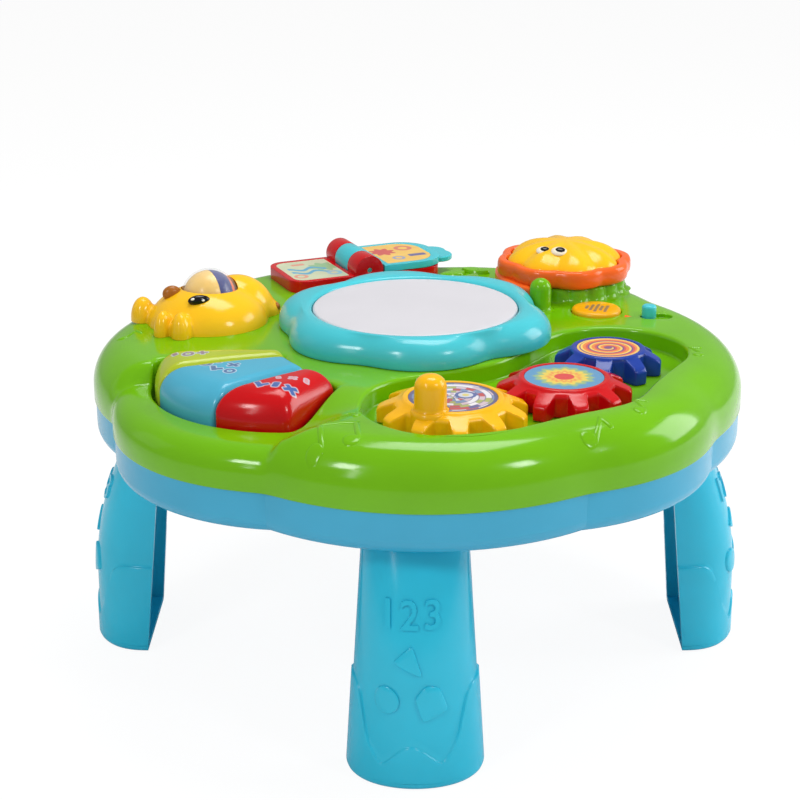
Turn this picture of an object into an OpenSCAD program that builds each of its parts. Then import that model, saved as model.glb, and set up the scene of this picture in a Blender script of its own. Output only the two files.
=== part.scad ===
// Musical activity table for toddlers: a lobed green top with gears, keys, a drum,
// a flip book and a rolling ball, on a blue tray with four plug-in legs.
// The floor is z = 0, the table's axis is the Z axis and the keys are at the front left.

/* [Table] */
// Reach of every lobe from the table's axis
table_reach = 172; // [170:0.5:178]
// Height of the legs, from the floor to the underside of the tray
leg_h = 117; // [100:1:160]
// Height of the blue tray
tray_h = 21; // [20:0.5:26]
// Height of the green top above the seam
top_h = 30; // [29:0.5:34]
// Wall of both shells
wall = 2.5; // [2:0.1:3]
// Radius of the top's rounded rim
rim_r = 22; // [18:0.5:24]
// Radius of the tray's lower edge
tray_edge = 8; // [6:0.5:10]
// How far the tray's seam lies inside the green rim
seam_step = 0.8; // [0.4:0.1:1.2]

/* [Legs] */
// Half width of a leg at the floor
leg_foot_w = 32.5; // [28:0.5:36]
// Half width of a leg at the tray
leg_top_w = 25.2; // [23:0.2:28]
// Reach of a leg's outer face at the floor
leg_foot_reach = 175; // [170:0.5:180]
// Reach of a leg's outer face at the tray
leg_top_reach = 153; // [150:0.5:154]
// Depth of a leg from its open side to its outer face, at the floor
leg_foot_depth = 30; // [26:0.5:34]
// Depth of a leg from its open side to its outer face, at the tray
leg_top_depth = 18.4; // [17:0.2:21]
// Height at which a leg's outer face starts to lean in
leg_belly_z = 35; // [20:1:50]
// Wall of a leg
leg_wall = 2.6; // [2:0.1:3.2]
// Thickness of the foot plate
foot_plate = 3; // [2:0.5:5]
// Length of the plug that holds a leg in the tray
plug_l = 10; // [8:0.5:12]
// How far the plug steps in from the leg's outline
plug_step = 2.5; // [2:0.25:3]
// Gap around each plug
plug_gap = 0.25; // [0.15:0.05:0.4]

/* [Gears] */
// Size of the teeth (pitch diameter over number of teeth)
gear_module = 6; // [5.8:0.05:6.1]
// Teeth of the yellow gear
yellow_teeth = 11; // [11:1:11]
// Teeth of the red gear
red_teeth = 10; // [10:1:10]
// Teeth of the blue gear
blue_teeth = 8; // [8:1:8]
// Play between two gears' flanks
gear_play = 0.9; // [0.6:0.1:1.2]
// Height of a gear
gear_h = 13; // [12:0.5:14]
// Height of the teeth at their tips
tooth_h = 8; // [6:0.5:9]
// Gap under each gear
gear_lift = 0.3; // [0.2:0.1:0.5]
// Depth of the pocket that the gears turn in
gear_pocket_depth = 10; // [9:0.5:12]
// Radius of the posts that the gears turn on
post_r = 4; // [3:0.25:5]
// Radial clearance of a running fit
fit = 0.08; // [0.05:0.01:0.1]
// Radius of the crank peg
peg_r = 7.8; // [6:0.2:8.4]
// Height of the crank peg above the gear
peg_h = 17; // [14:0.5:20]

/* [Drum] */
// Radius of the drum's white disc
disc_r = 54.7; // [52:0.1:55.5]
// Reach of the drum ring's lobes
ring_reach = 75; // [73:0.5:76]
// Height of the drum ring above the deck
ring_h = 15; // [14:0.5:18]
// Radius of the drum ring's rounded rim
ring_edge = 12; // [8:0.5:13]
// Gap around the disc
disc_gap = 0.4; // [0.3:0.1:0.8]
// How far the drum presses down
drum_travel = 1.5; // [1:0.1:2]

/* [Keys] */
// Height of the keys' tops above the deck
key_rise = 5; // [3:0.5:8]
// Radius of the keys' rounded shoulders
key_edge = 13; // [10:0.5:15]
// Gap between neighbouring keys
key_gap = 0.8; // [0.6:0.1:1.2]
// Gap between the keys and their pocket
key_margin = 1.4; // [1:0.1:2]
// How far a key presses down
key_travel = 2.5; // [1.5:0.1:3]
// Depth of the key pocket below the deck
key_pocket_depth = 20; // [18:0.5:22]
// Wall of a key
key_wall = 2.2; // [1.8:0.1:2.6]

/* [Book] */
// Length of the pages along the spine
page_l = 48; // [44:1:50]
// Width of the base on each side of the spine
page_w = 47; // [44:1:49]
// Thickness of the book's base
base_t = 7; // [5:0.5:7.5]
// Thickness of the flip page
page_t = 4; // [3:0.5:5]
// Radius of the spine's knuckles
knuckle_r = 8.5; // [8:0.25:9]

/* [Flower] */
// Reach of the orange ring's scallops
flower_reach = 39; // [38:0.5:40]
// Height of the green riser under the flower
riser_h = 8.5; // [8:0.5:12]
// Height of the orange ring
flower_ring_h = 10.5; // [10:0.5:12]
// Reach of the yellow button's scallops
bloom_reach = 32; // [31:0.5:33]
// Height of the yellow button's crown above the deck
bloom_rise = 31; // [29:0.5:33]
// How far the flower presses down
bloom_travel = 2; // [1:0.1:2.5]

/* [Ball] */
// Radius of the clear rolling ball
ball_r = 15.5; // [14:0.25:16]
// Gap around the rolling ball
ball_gap = 0.8; // [0.6:0.1:1.2]

/* [Hidden] */
$fn = 96;

// Levels
tray_z = leg_h;
seam_z = tray_z + tray_h;
deck_z = seam_z + top_h;
under_deck = deck_z - wall;

// A point at a distance and a direction
function at(r, a) = [r * cos(a), r * sin(a)];
function lerp(a, b, t) = a + (b - a) * t;

// Lobes of the table: direction, and distance of the lobe's centre from the axis
LOBES = [[-138, 75], [-84, 50], [-44, 70], [-1, 40], [55, 50], [115, 50], [172, 60]];
key_lobe = LOBES[0];
key_lobe_at = at(key_lobe[1], key_lobe[0]);

// Heights at which the top's cavity steps in under the rounded rim, as shares of its height
CAVITY_STEPS = [0, 0.45, 0.8, 1];

// Shell screws: distance from the axis and directions
screw_at = 122;
SCREW_TURNS = [12, 68, 112, 152, -172, -106];
screw_r = 1.4;
boss_r = 4;
split_z = seam_z + 2;

// ---- shared shapes ----

// Half section of a disc whose upper edge is rounded; the arc is cut off just before it
// would run tangent to the wall and the top, so that neighbouring lobes meet cleanly
arc_over = 0.04;

module rounded_half(r, h, edge) {
    intersection() {
        union() {
            square([r - edge, h]);
            square([r, h - edge]);
            translate([r - edge, h - edge]) circle(edge + arc_over);
        }
        square([r, h]);
    }
}

module rounded_disc(r, h, edge) {
    rotate_extrude() rounded_half(r, h, edge);
}

// Rounded discs side by side round an axis, all reaching equally far
module lobed(lobes, reach, h, edge) {
    for (l = lobes) translate(at(l[1], l[0])) rounded_disc(reach - l[1], h, edge);
}

module lobed_plate(lobes, reach, h) {
    for (l = lobes) translate(at(l[1], l[0])) cylinder(r = reach - l[1], h = h);
}

// Evenly spaced lobes
function even_lobes(n, out, turn) = [for (i = [0 : n - 1]) [turn + i * 360 / n, out]];

module ring(r_out, r_in, h) {
    difference() {
        cylinder(r = r_out, h = h);
        translate([0, 0, -1]) cylinder(r = r_in, h = h + 2);
    }
}

module on_turns(r, turns) {
    for (a = turns) translate(at(r, a)) children();
}

// A rubber dome that returns a key or button and closes its contact
module rubber_dome(h) {
    rotate_extrude() polygon([[3, 0], [3.4, h - 1.6], [0, h - 1.6], [0, h], [3.6, h],
                              [4.2, h - 0.4], [4.8, 1], [7, 1], [7, 0]]);
}

// ---- legs ----

function leg_half_w(t) = lerp(leg_foot_w, leg_top_w, t);
function leg_inner(t) = lerp(leg_foot_reach - leg_foot_depth, leg_top_reach - leg_top_depth, t);
function leg_lean(z) = pow(max(0, z - leg_belly_z) / (leg_h - leg_belly_z), 2);
function leg_outer(z) = lerp(leg_foot_reach, leg_top_reach, leg_lean(z));
LEG_ARC = 16;

// Half of an oval: a point on a leg's outline, inset from its outer face
function leg_point(z, inset, i) =
    let (t = min(z / leg_h, 1), w = leg_half_w(t) - inset,
         near = leg_inner(t), far = leg_outer(min(z, leg_h)) - inset, a = 180 * i / LEG_ARC)
    [near + (far - near) * pow(sin(a), 0.85), w * cos(a)];

// One level of a leg's skin; the cavity's open side is pushed out past the leg's edges
function leg_level(z, inset, push) = [for (i = [0 : LEG_ARC])
    let (p = leg_point(z, inset, i)) [p[0] - (i % LEG_ARC == 0 ? push : 0), p[1], z]];

// Skin between rings of equally many points
module loft(rings) {
    n = len(rings[0]);
    m = len(rings);
    points = [for (r = rings) each r];
    sides = [for (k = [0 : m - 2], i = [0 : n - 1])
        let (j = (i + 1) % n, a = k * n + i, b = k * n + j, c = b + n, d = a + n)
        each [[a, b, c], [a, c, d]]];
    polyhedron(points, concat([[for (i = [n - 1 : -1 : 0]) i]],
                              sides,
                              [[for (i = [0 : n - 1]) (m - 1) * n + i]]));
}

// Channel with a foot plate below, a top plate and a plug on it
module leg(turn) {
    color("deepskyblue") rotate(turn) {
        difference() {
            loft([for (k = [0 : 8]) leg_level(leg_h * k / 8, 0, 0)]);
            loft([for (z = concat([foot_plate], [for (k = [1 : 7]) leg_h * k / 8], [leg_h - leg_wall]))
                leg_level(z, leg_wall, 5)]);
        }
        translate([0, 0, leg_h - 1]) linear_extrude(plug_l + 1) difference() {
            plug_outline(0);
            plug_outline(-leg_wall);
        }
    }
}

module leg_front() { leg(-90); }
module leg_right() { leg(0); }
module leg_back() { leg(90); }
module leg_left() { leg(180); }

// Outline of a leg's plug, grown by a gap
module plug_outline(grow) {
    polygon([for (i = [0 : LEG_ARC])
        let (p = leg_point(leg_h, plug_step - grow, i)) [p[0] - (i % LEG_ARC == 0 ? grow : 0), p[1]]]);
}

module plug_block(grow, h) {
    for (turn = [0 : 90 : 270]) rotate(turn) linear_extrude(h) plug_outline(grow);
}

// ---- blue tray ----

battery_l = 50.5;
battery_r = 7.25;
cell_gap = 0.6;
battery_at = [0, 62];
door_t = 2.5;
door_gap = 0.4;
door_tab_t = 1.5;
box_w = 3 * (2 * battery_r + cell_gap) + 2;
box_l = battery_l + 7;
box_h = 2 * battery_r + door_t + 2;
speaker_r = 28;
speaker_at = [0, -48];
grille_r = 22;

// The battery door's tab, which takes its screw
module door_tab(grow, t) {
    translate([battery_at[0] - 6.5 - grow, battery_at[1] + box_l / 2 - 1, 0])
        cube([13 + 2 * grow, 12 + grow, t]);
}

module at_door_screw() {
    translate([battery_at[0], battery_at[1] + box_l / 2 + 5.5, 0]) children();
}

// The tray's outline as a block: the same lobes as the top with the rounded edge below
module tray_block() {
    translate([0, 0, tray_h]) mirror([0, 0, 1])
        lobed(LOBES, table_reach - seam_step, tray_h, tray_edge);
}

// Room inside the tray, stepped over its rounded edge
module tray_room() {
    for (t = CAVITY_STEPS)
        translate([0, 0, tray_edge - (tray_edge - wall) * t])
        lobed_plate(LOBES, table_reach - seam_step
                    - (tray_edge - (tray_edge - wall) * sqrt(1 - t * t)), tray_h);
}

module battery_box(grow) {
    translate([battery_at[0] - box_w / 2 - grow, battery_at[1] - box_l / 2 - grow, 0])
        cube([box_w + 2 * grow, box_l + 2 * grow, box_h + grow]);
}

module tray() {
    color("skyblue")
    translate([0, 0, tray_z]) difference() {
        union() {
            difference() {
                tray_block();
                tray_room();
            }
            plug_block(plug_gap + wall, plug_l + wall);
            battery_box(wall);
            on_turns(screw_at, SCREW_TURNS) cylinder(r = boss_r, h = split_z - tray_z);
            translate([speaker_at[0], speaker_at[1], wall - 0.5])
                ring(speaker_r + wall, speaker_r + 0.3, 4);
            for (p = BOARD_POSTS) translate([p[0], p[1], 1]) cylinder(r = 3, h = board_z - tray_z - 1);
            at_door_screw() cylinder(r = 4, h = 9.5);
        }
        translate([0, 0, -1]) plug_block(plug_gap, plug_l + 1.5);
        translate([0, 0, -1]) battery_box(0);
        on_turns(screw_at, SCREW_TURNS) {
            translate([0, 0, -1]) cylinder(r = screw_r + 0.3, h = tray_h + 5);
            translate([0, 0, -1]) cylinder(r = 3, h = tray_h - 6);
        }
        for (r = [6 : 5 : grille_r - 1], a = [0 : 45 : 315])
            translate([speaker_at[0], speaker_at[1], -1]) translate(at(r, a + 4 * r))
                cylinder(r = 1.3, h = wall + 2);
        for (p = BOARD_POSTS) translate([p[0], p[1], wall]) cylinder(r = screw_r + 0.05, h = board_z);
        translate([0, 0, -1]) door_tab(door_gap, door_tab_t + 1);
        at_door_screw() translate([0, 0, -1]) cylinder(r = screw_r + 0.05, h = 10);
    }
}

// ---- electronics in the tray ----

board_z = tray_z + 12;
board_t = 1.6;
BOARD_POSTS = [[42, -18], [106, -18], [42, -69], [106, -69]];

module main_board() {
    color("seagreen") translate([0, 0, board_z]) difference() {
        union() {
            translate([37, -74, 0]) cube([74, 61, board_t]);
            translate([58, -50, board_t]) cube([14, 14, 2.2]);
            translate([80, -58, board_t]) cube([10, 18, 1.8]);
            translate([52, -64, board_t]) cylinder(r = 4, h = 9);
            translate([66, -64, board_t]) cylinder(r = 3, h = 7);
            for (y = [-34, -28, -22]) translate([82, y, board_t]) cube([12, 3, 1.5]);
        }
        for (p = BOARD_POSTS) translate([p[0], p[1], -1]) cylinder(r = screw_r + 0.2, h = board_t + 2);
    }
}

module speaker() {
    color("dimgray") translate([speaker_at[0], speaker_at[1], tray_z + wall]) {
        difference() {
            cylinder(r = speaker_r, h = 3.5);
            translate([0, 0, -1]) cylinder(r = speaker_r - 4, h = 3);
        }
        translate([0, 0, 3.5]) cylinder(r1 = speaker_r - 5, r2 = 14, h = 5);
        translate([0, 0, 8.5]) cylinder(r = 14, h = 6);
    }
}

module door_screw() {
    color("silver") at_door_screw() translate([0, 0, tray_z]) screw(8);
}

module battery_door() {
    color("skyblue") translate([0, 0, tray_z]) difference() {
        union() {
            translate([battery_at[0] - box_w / 2 + door_gap, battery_at[1] - box_l / 2 + door_gap, 0])
                cube([box_w - 2 * door_gap, box_l - 2 * door_gap, door_t]);
            door_tab(0, door_tab_t - 0.1);
        }
        at_door_screw() translate([0, 0, -1]) cylinder(r = screw_r + 0.2, h = 5);
    }
}

module each_cell() {
    for (i = [-1 : 1]) translate([battery_at[0] + i * (2 * battery_r + cell_gap), battery_at[1],
                                  tray_z + door_t + 0.4 + battery_r]) children();
}

module batteries() {
    color("gray") each_cell() rotate([90, 0, 0]) {
        translate([0, 0, -battery_l / 2]) cylinder(r = battery_r, h = battery_l - 1.2);
        translate([0, 0, battery_l / 2 - 1.2]) cylinder(r = 2.7, h = 1.2);
    }
}

contact_room = (box_l - battery_l) / 2;

module battery_contacts() {
    color("silver") each_cell() {
        translate([-5, -box_l / 2, -5]) cube([10, 0.5, 10]);
        translate([-5, box_l / 2 - 0.5, -5]) cube([10, 0.5, 10]);
        translate([0, box_l / 2 - 0.5, 0]) rotate([90, 0, 0])
            cylinder(r1 = 4, r2 = 2.5, h = contact_room - 0.7);
        translate([0, -box_l / 2 + 0.5, 0]) rotate([-90, 0, 0])
            cylinder(r = 2.5, h = contact_room - 0.7);
    }
}

// A pan-head screw whose head's seat is at z = 0, pointing up
module screw(l, head = 2.8) {
    translate([0, 0, -2]) cylinder(r = head, h = 2);
    cylinder(r = screw_r, h = l);
}

module shell_screws() {
    color("silver") on_turns(screw_at, SCREW_TURNS)
        translate([0, 0, screw_seat_z]) screw(split_z - screw_seat_z + 12);
}

module board_screws() {
    color("silver") {
        for (p = BOARD_POSTS) translate([p[0], p[1], board_z + board_t]) mirror([0, 0, 1]) screw(8);
        key_posts() translate([0, 0, key_board_z]) screw(7);
        side_posts() translate([0, 0, side_board_z]) screw(7);
    }
}

screw_seat_z = tray_z + tray_h - 7;

// ---- gear train ----

gear_floor_z = deck_z - gear_pocket_depth;
gear_z = gear_floor_z + gear_lift;
pressure = 25;
addendum = 0.58;
dedendum = 0.74;
disc_share = 0.585;
disc_t = 0.5;
disc_recess = 0.8;
yellow_at = [18, -105];
red_turn = 28.9;
blue_turn = 60.9;

function pitch_r(n) = gear_module * n / 2;
function tip_r(n) = pitch_r(n) + addendum * gear_module;
function root_r(n) = pitch_r(n) - dedendum * gear_module;
function gear_disc_r(n) = tip_r(n) * disc_share;
red_at = yellow_at + at(pitch_r(yellow_teeth) + pitch_r(red_teeth), red_turn);
blue_at = red_at + at(pitch_r(red_teeth) + pitch_r(blue_teeth), blue_turn);

// Rest turns: a tooth of each gear stands in a gap of its neighbour
yellow_rest = red_turn + 180 / yellow_teeth;
red_rest = red_turn + 180;
blue_rest = blue_turn + 180 + 180 / blue_teeth
    + (blue_turn - red_rest) * red_teeth / blue_teeth;

// Half the angle of a tooth at a radius: an involute flank with play
function involute(a) = tan(a) * 180 / PI - a;
function tooth_half(n, r) =
    let (p = pitch_r(n), base = p * cos(pressure))
    90 / n - gear_play / (4 * p) * 180 / PI + involute(pressure) - involute(acos(min(1, base / r)));

FLANK = [0, 0.35, 0.7, 1];

function gear_outline(n) =
    let (base = max(pitch_r(n) * cos(pressure), root_r(n) + 0.6), tip = tip_r(n) - 0.7,
         radii = [for (t = FLANK) lerp(base, tip, t)])
    [for (k = [0 : n - 1]) let (c = k * 360 / n)
        each concat([at(root_r(n) + 0.3, c - tooth_half(n, base) - 1)],
                    [for (r = radii) at(r, c - tooth_half(n, r))],
                    [at(tip_r(n), c - tooth_half(n, tip_r(n)) * 0.5),
                     at(tip_r(n), c + tooth_half(n, tip_r(n)) * 0.5)],
                    [for (i = [len(radii) - 1 : -1 : 0]) at(radii[i], c + tooth_half(n, radii[i]))],
                    [at(root_r(n) + 0.3, c + tooth_half(n, base) + 1), at(root_r(n), c + 180 / n)])];

module gear(n) {
    rim = gear_disc_r(n) + 2;
    difference() {
        intersection() {
            linear_extrude(gear_h) polygon(gear_outline(n));
            rotate_extrude() polygon([[0, 0], [tip_r(n) + 1, 0], [tip_r(n) + 1, tooth_h - 1],
                                      [rim + 1, gear_h - 0.8], [rim, gear_h], [0, gear_h]]);
        }
        translate([0, 0, -1]) cylinder(r = post_r + fit, h = gear_h);
        translate([0, 0, post_h - gear_lift - 0.1]) cylinder(r = head_r + 1, h = gear_h);
        translate([0, 0, gear_h - disc_recess]) cylinder(r = gear_disc_r(n) + 0.15, h = 2);
    }
}

post_h = gear_lift + gear_h - disc_recess - 3;
head_r = 6;

module in_yellow() { translate([yellow_at[0], yellow_at[1], gear_z]) rotate(yellow_rest) children(); }
module in_red() { translate([red_at[0], red_at[1], gear_z]) rotate(red_rest) children(); }
module in_blue() { translate([blue_at[0], blue_at[1], gear_z]) rotate(blue_rest) children(); }

crank_turn = -122;
crank_out = 20.5;

module at_crank() {
    translate([yellow_at[0], yellow_at[1], gear_z]) translate(at(crank_out, crank_turn)) children();
}

module yellow_gear() {
    color("gold") difference() {
        union() {
            in_yellow() gear(yellow_teeth);
            at_crank() cylinder(r = peg_r + 1, h = gear_h);
        }
        at_crank() translate([0, 0, gear_h - 6]) cylinder(r = 3.1, h = 8);
        at_crank() translate([0, 0, gear_h - disc_recess]) cylinder(r = peg_r + 0.1, h = 8);
    }
}

module red_gear() { color("crimson") in_red() gear(red_teeth); }
module blue_gear() { color("royalblue") in_blue() gear(blue_teeth); }

module gear_disc(n) {
    translate([0, 0, gear_h - disc_recess]) cylinder(r = gear_disc_r(n), h = disc_t);
}

module yellow_gear_disc() {
    color("navy") difference() {
        in_yellow() gear_disc(yellow_teeth);
        at_crank() cylinder(r = peg_r + 1.2, h = gear_h + 2);
    }
}

module red_gear_disc() { color("orangered") in_red() gear_disc(red_teeth); }
module blue_gear_disc() { color("purple") in_blue() gear_disc(blue_teeth); }

module crank_peg() {
    color("gold") at_crank() {
        translate([0, 0, gear_h - 5.5]) cylinder(r = 3, h = 5.5);
        translate([0, 0, gear_h - disc_recess]) rounded_disc(peg_r, peg_h + disc_recess, peg_r - 1.5);
    }
}

module gear_posts(r, h) {
    for (p = [yellow_at, red_at, blue_at]) translate([p[0], p[1], gear_floor_z]) cylinder(r = r, h = h);
}

module gear_screws() {
    color("silver") for (p = [yellow_at, red_at, blue_at])
        translate([p[0], p[1], gear_floor_z + post_h]) {
            cylinder(r = head_r, h = 1.8);
            translate([0, 0, -8]) cylinder(r = screw_r, h = 8);
        }
}

// Pocket: a circle round each gear and a web between neighbours
pocket_circles = [[yellow_at, 44], [[72, -73], 40], [[103, -20], 38]];

// Straight-sided web that joins two circles, its sides just inside their common tangents
web_in = 0.5;
module web(c1, c2, grow) {
    d = c2[0] - c1[0];
    turn = atan2(d[1], d[0]);
    off = acos((c1[1] - c2[1]) / norm(d));
    r1 = c1[1] + grow - web_in;
    r2 = c2[1] + grow - web_in;
    polygon([c1[0] + at(r1, turn + off), c1[0] + at(r1, turn - off),
             c2[0] + at(r2, turn - off), c2[0] + at(r2, turn + off)]);
}

module gear_pocket(grow) {
    for (c = pocket_circles) translate(c[0]) circle(c[1] + grow);
    for (i = [0, 1]) web(pocket_circles[i], pocket_circles[i + 1], grow);
}

// ---- keys ----

key_apex = [-11, -29];
key_circle = [[-62, -46], 70];
key_inner_r = 57;
// Directions of the fan's sides and of the joints between keys
KEY_TURNS = [-119, -137.8, -160.3, -176.5];
key_top_z = deck_z + key_rise;
key_floor_z = deck_z - key_pocket_depth;
key_foot_z = key_floor_z + key_travel + 0.6;
key_stem_r = 4;
key_stem_end = key_floor_z - wall - key_travel - 0.4;
dome_h = 6;
key_board_z = key_stem_end - 0.3 - dome_h - board_t;
key_stem_out = 88;

// Sector of the fan between two directions, with its sides moved in by a margin
module key_sector(a, b, margin) {
    m = (a + b) / 2;
    start = margin / sin(abs(a - b) / 2);
    intersection() {
        translate(key_circle[0]) circle(key_circle[1] - margin);
        difference() {
            translate(key_apex + at(start, m)) polygon([[0, 0], at(200, a), at(220, m), at(200, b)]);
            translate(key_apex) circle(key_inner_r + margin);
        }
    }
}

// One key: a rounded shell with a guide stem
module key(i) {
    a = KEY_TURNS[i];
    b = KEY_TURNS[i + 1];
    stem = key_apex + at(key_stem_out, (a + b) / 2);
    difference() {
        intersection() {
            translate([0, 0, key_foot_z])
                linear_extrude(key_top_z - key_foot_z) key_sector(a, b, key_gap / 2);
            translate([key_circle[0][0], key_circle[0][1], key_foot_z])
                rounded_disc(key_circle[1] - key_gap / 2, key_top_z - key_foot_z, key_edge);
        }
        translate([0, 0, key_foot_z - 1])
            linear_extrude(key_top_z - key_foot_z - key_edge * 0.4)
                key_sector(a, b, key_wall + key_edge * 0.25);
    }
    translate([stem[0], stem[1], key_stem_end]) cylinder(r = key_stem_r, h = key_top_z - key_stem_end - 4);
}

module key_stems() {
    for (i = [0 : 2])
        translate(key_apex + at(key_stem_out, (KEY_TURNS[i] + KEY_TURNS[i + 1]) / 2)) children();
}

module key_posts() {
    for (p = [[74, -137.8], [74, -160.3], [104, -149]])
        translate(key_apex + at(p[0], p[1])) children();
}

module key_yellow() { color("yellowgreen") key(2); }
module key_blue() { color("lightskyblue") key(1); }
module key_red() { color("red") key(0); }

module key_domes() {
    color("whitesmoke") key_stems() translate([0, 0, key_board_z + board_t]) rubber_dome(dome_h);
}

module key_board() {
    color("seagreen") difference() {
        translate([0, 0, key_board_z]) linear_extrude(board_t)
            key_sector(KEY_TURNS[0], KEY_TURNS[3], 6);
        key_posts() translate([0, 0, key_board_z - 1]) cylinder(r = screw_r + 0.2, h = board_t + 2);
    }
}

// ---- green top ----

low_rim_h = 20;
low_rim_edge = 12.5;
low_start = 79;
LOW_TURNS = [-116.5, -172];
flower_at = [86, 98];
riser_r = flower_reach - 4.5;
riser_top_z = deck_z + riser_h;
riser_foot_z = deck_z - 13;
head_at = [-113, 31];
snout_at = [-92, 48];
axle_r = 1.5;
axle_l = 37;
ball_wall = 1.8;
band_w = 10;
band_r = 12.6;
nub_at = [71, 53];
nub_r = 5.2;
nub_h = 16;
mode_at = [100.5, 49.5];
mode_r = 13.6;
mode_gap = 0.3;
mode_rise = 2.5;
lever_r = 1.8;
knob_at = [128.5, 39.5];
knob_turn = 0;
knob_r = 4;
knob_h = 7;
knob_travel = 8;
drum_at = [0, 12];
ring_at = [0, 16];
drum_hole_r = 48;
book_at = [-36, 123];
book_turn = 24;
ball_at = [-112, 34];
ball_z = deck_z + 13;
ball_turn = 20;
ball_hole_r = 12;
seat_peg_r = 3;
ring_pegs = [for (a = [-60, 20, 135, 230]) ring_at + at(66, a)];
book_pegs = [for (p = [[-38, 14], [-38, -14], [38, 0]])
    book_at + [p[0] * cos(book_turn) - p[1] * sin(book_turn), p[0] * sin(book_turn) + p[1] * cos(book_turn)]];
hippo_pegs = [head_at + at(24, 215), head_at + at(24, 320), snout_at];
SEAT_PEGS = concat(ring_pegs, book_pegs, hippo_pegs);

// Room under a rounded rim: plain steps that follow the rim's curve at one wall's distance
function step_inset(edge, t) = edge - (edge - wall) * sqrt(1 - t * t);
function step_top(h, edge, t) = h - edge + (edge - wall) * t;

// Wedge over the key lobe, in which the rim is lower
module low_wedge(grow) {
    m = (LOW_TURNS[0] + LOW_TURNS[1]) / 2;
    start = -grow / sin((LOW_TURNS[0] - LOW_TURNS[1]) / 2);
    difference() {
        translate(key_apex + at(start, m))
            polygon([[0, 0], at(260, LOW_TURNS[0]), at(300, m), at(260, LOW_TURNS[1])]);
        translate(key_apex) circle(low_start - grow);
    }
}

module low_rim() {
    translate([key_lobe_at[0], key_lobe_at[1], seam_z])
        rounded_disc(table_reach - key_lobe[1], low_rim_h, low_rim_edge);
}

module top_outside() {
    difference() {
        translate([0, 0, seam_z]) lobed(LOBES, table_reach, top_h, rim_r);
        difference() {
            translate([0, 0, seam_z + low_rim_h - low_rim_edge]) linear_extrude(top_h) low_wedge(0);
            low_rim();
        }
    }
}

module top_room() {
    difference() {
        for (t = CAVITY_STEPS) translate([0, 0, seam_z - 1])
            lobed_plate(LOBES, table_reach - step_inset(rim_r, t), step_top(top_h, rim_r, t) + 1);
        translate([0, 0, seam_z + low_rim_h - low_rim_edge]) linear_extrude(top_h) low_wedge(wall);
    }
    for (t = CAVITY_STEPS) translate([key_lobe_at[0], key_lobe_at[1], seam_z - 1])
        cylinder(r = table_reach - key_lobe[1] - step_inset(low_rim_edge, t),
                 h = step_top(low_rim_h, low_rim_edge, t) + 1);
}

module top_casting() {
    difference() {
        top_outside();
        top_room();
    }
    // Pocket tubs
    translate([0, 0, gear_floor_z - wall])
        linear_extrude(under_deck + 1 - gear_floor_z + wall) gear_pocket(wall);
    translate([0, 0, key_floor_z - wall]) {
        linear_extrude(seam_z + low_rim_h - 1 - key_floor_z + wall) key_tub(wall);
        linear_extrude(under_deck + 1 - key_floor_z + wall) difference() {
            key_tub(wall);
            low_wedge(0);
        }
    }
    // Riser under the flower
    translate([flower_at[0], flower_at[1], riser_foot_z])
        cylinder(r = riser_r, h = riser_top_z - riser_foot_z);
    // Finger-shaped nub
    translate([nub_at[0], nub_at[1], under_deck]) rounded_disc(nub_r, nub_h + wall, nub_r - 0.4);
    // Bosses for the shell screws and posts for the boards
    on_turns(screw_at, SCREW_TURNS) translate([0, 0, split_z])
        cylinder(r = boss_r, h = under_deck - split_z + 1);
    key_posts() translate([0, 0, key_board_z + board_t])
        cylinder(r = 3, h = key_floor_z - wall + 1 - key_board_z - board_t);
    side_posts() translate([0, 0, side_board_z + board_t])
        cylinder(r = 3, h = under_deck + 1 - side_board_z - board_t);
}

module key_tub(grow) {
    key_sector(KEY_TURNS[0], KEY_TURNS[3], -key_margin - grow);
}

module switch_slot(r) {
    translate(knob_at) rotate(knob_turn) {
        circle(r);
        translate([knob_travel, 0]) circle(r);
        translate([0, -r]) square([knob_travel, 2 * r]);
    }
}

// Everything that is cut out of the green casting
module top_cuts() {
    translate([0, 0, gear_floor_z]) linear_extrude(top_h) gear_pocket(0);
    translate([0, 0, key_floor_z]) linear_extrude(top_h) key_tub(0);
    key_stems() translate([0, 0, key_floor_z - wall - 1]) cylinder(r = key_stem_r + fit, h = wall + 2);
    translate([drum_at[0], drum_at[1], under_deck - 1]) cylinder(r = drum_hole_r, h = wall + 2);
    translate([flower_at[0], flower_at[1], riser_foot_z - 1])
        cylinder(r = riser_r - wall, h = riser_top_z - riser_foot_z - wall + 1);
    translate([mode_at[0], mode_at[1], under_deck - 1]) cylinder(r = mode_r + mode_gap, h = wall + 2);
    translate([0, 0, under_deck - 1]) linear_extrude(wall + 2) switch_slot(lever_r + 0.3);
    translate([0, 0, deck_z - 1]) linear_extrude(2) switch_slot(knob_r + 0.8);
    translate([ball_at[0], ball_at[1], under_deck - 1]) cylinder(r = ball_hole_r, h = wall + 2);
    for (p = SEAT_PEGS) translate([p[0], p[1], under_deck - 1]) cylinder(r = seat_peg_r + 0.2, h = wall + 2);
    on_turns(screw_at, SCREW_TURNS) translate([0, 0, split_z - 1]) cylinder(r = screw_r + 0.05, h = 16);
    key_posts() translate([0, 0, key_board_z]) cylinder(r = screw_r + 0.05, h = 8);
    side_posts() translate([0, 0, side_board_z]) cylinder(r = screw_r + 0.05, h = 8);
}

module top_shell() {
    color("yellowgreen") {
        difference() {
            top_casting();
            top_cuts();
        }
        difference() {
            gear_posts(post_r, post_h);
            translate([0, 0, 1]) gear_posts(screw_r + 0.05, post_h);
        }
    }
}

// Pegs under the pieces that are glued on top of the deck
module seat_pegs(points) {
    for (p = points) translate([p[0], p[1], under_deck - 1]) cylinder(r = seat_peg_r, h = wall + 2);
}

// ---- drum ----

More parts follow.
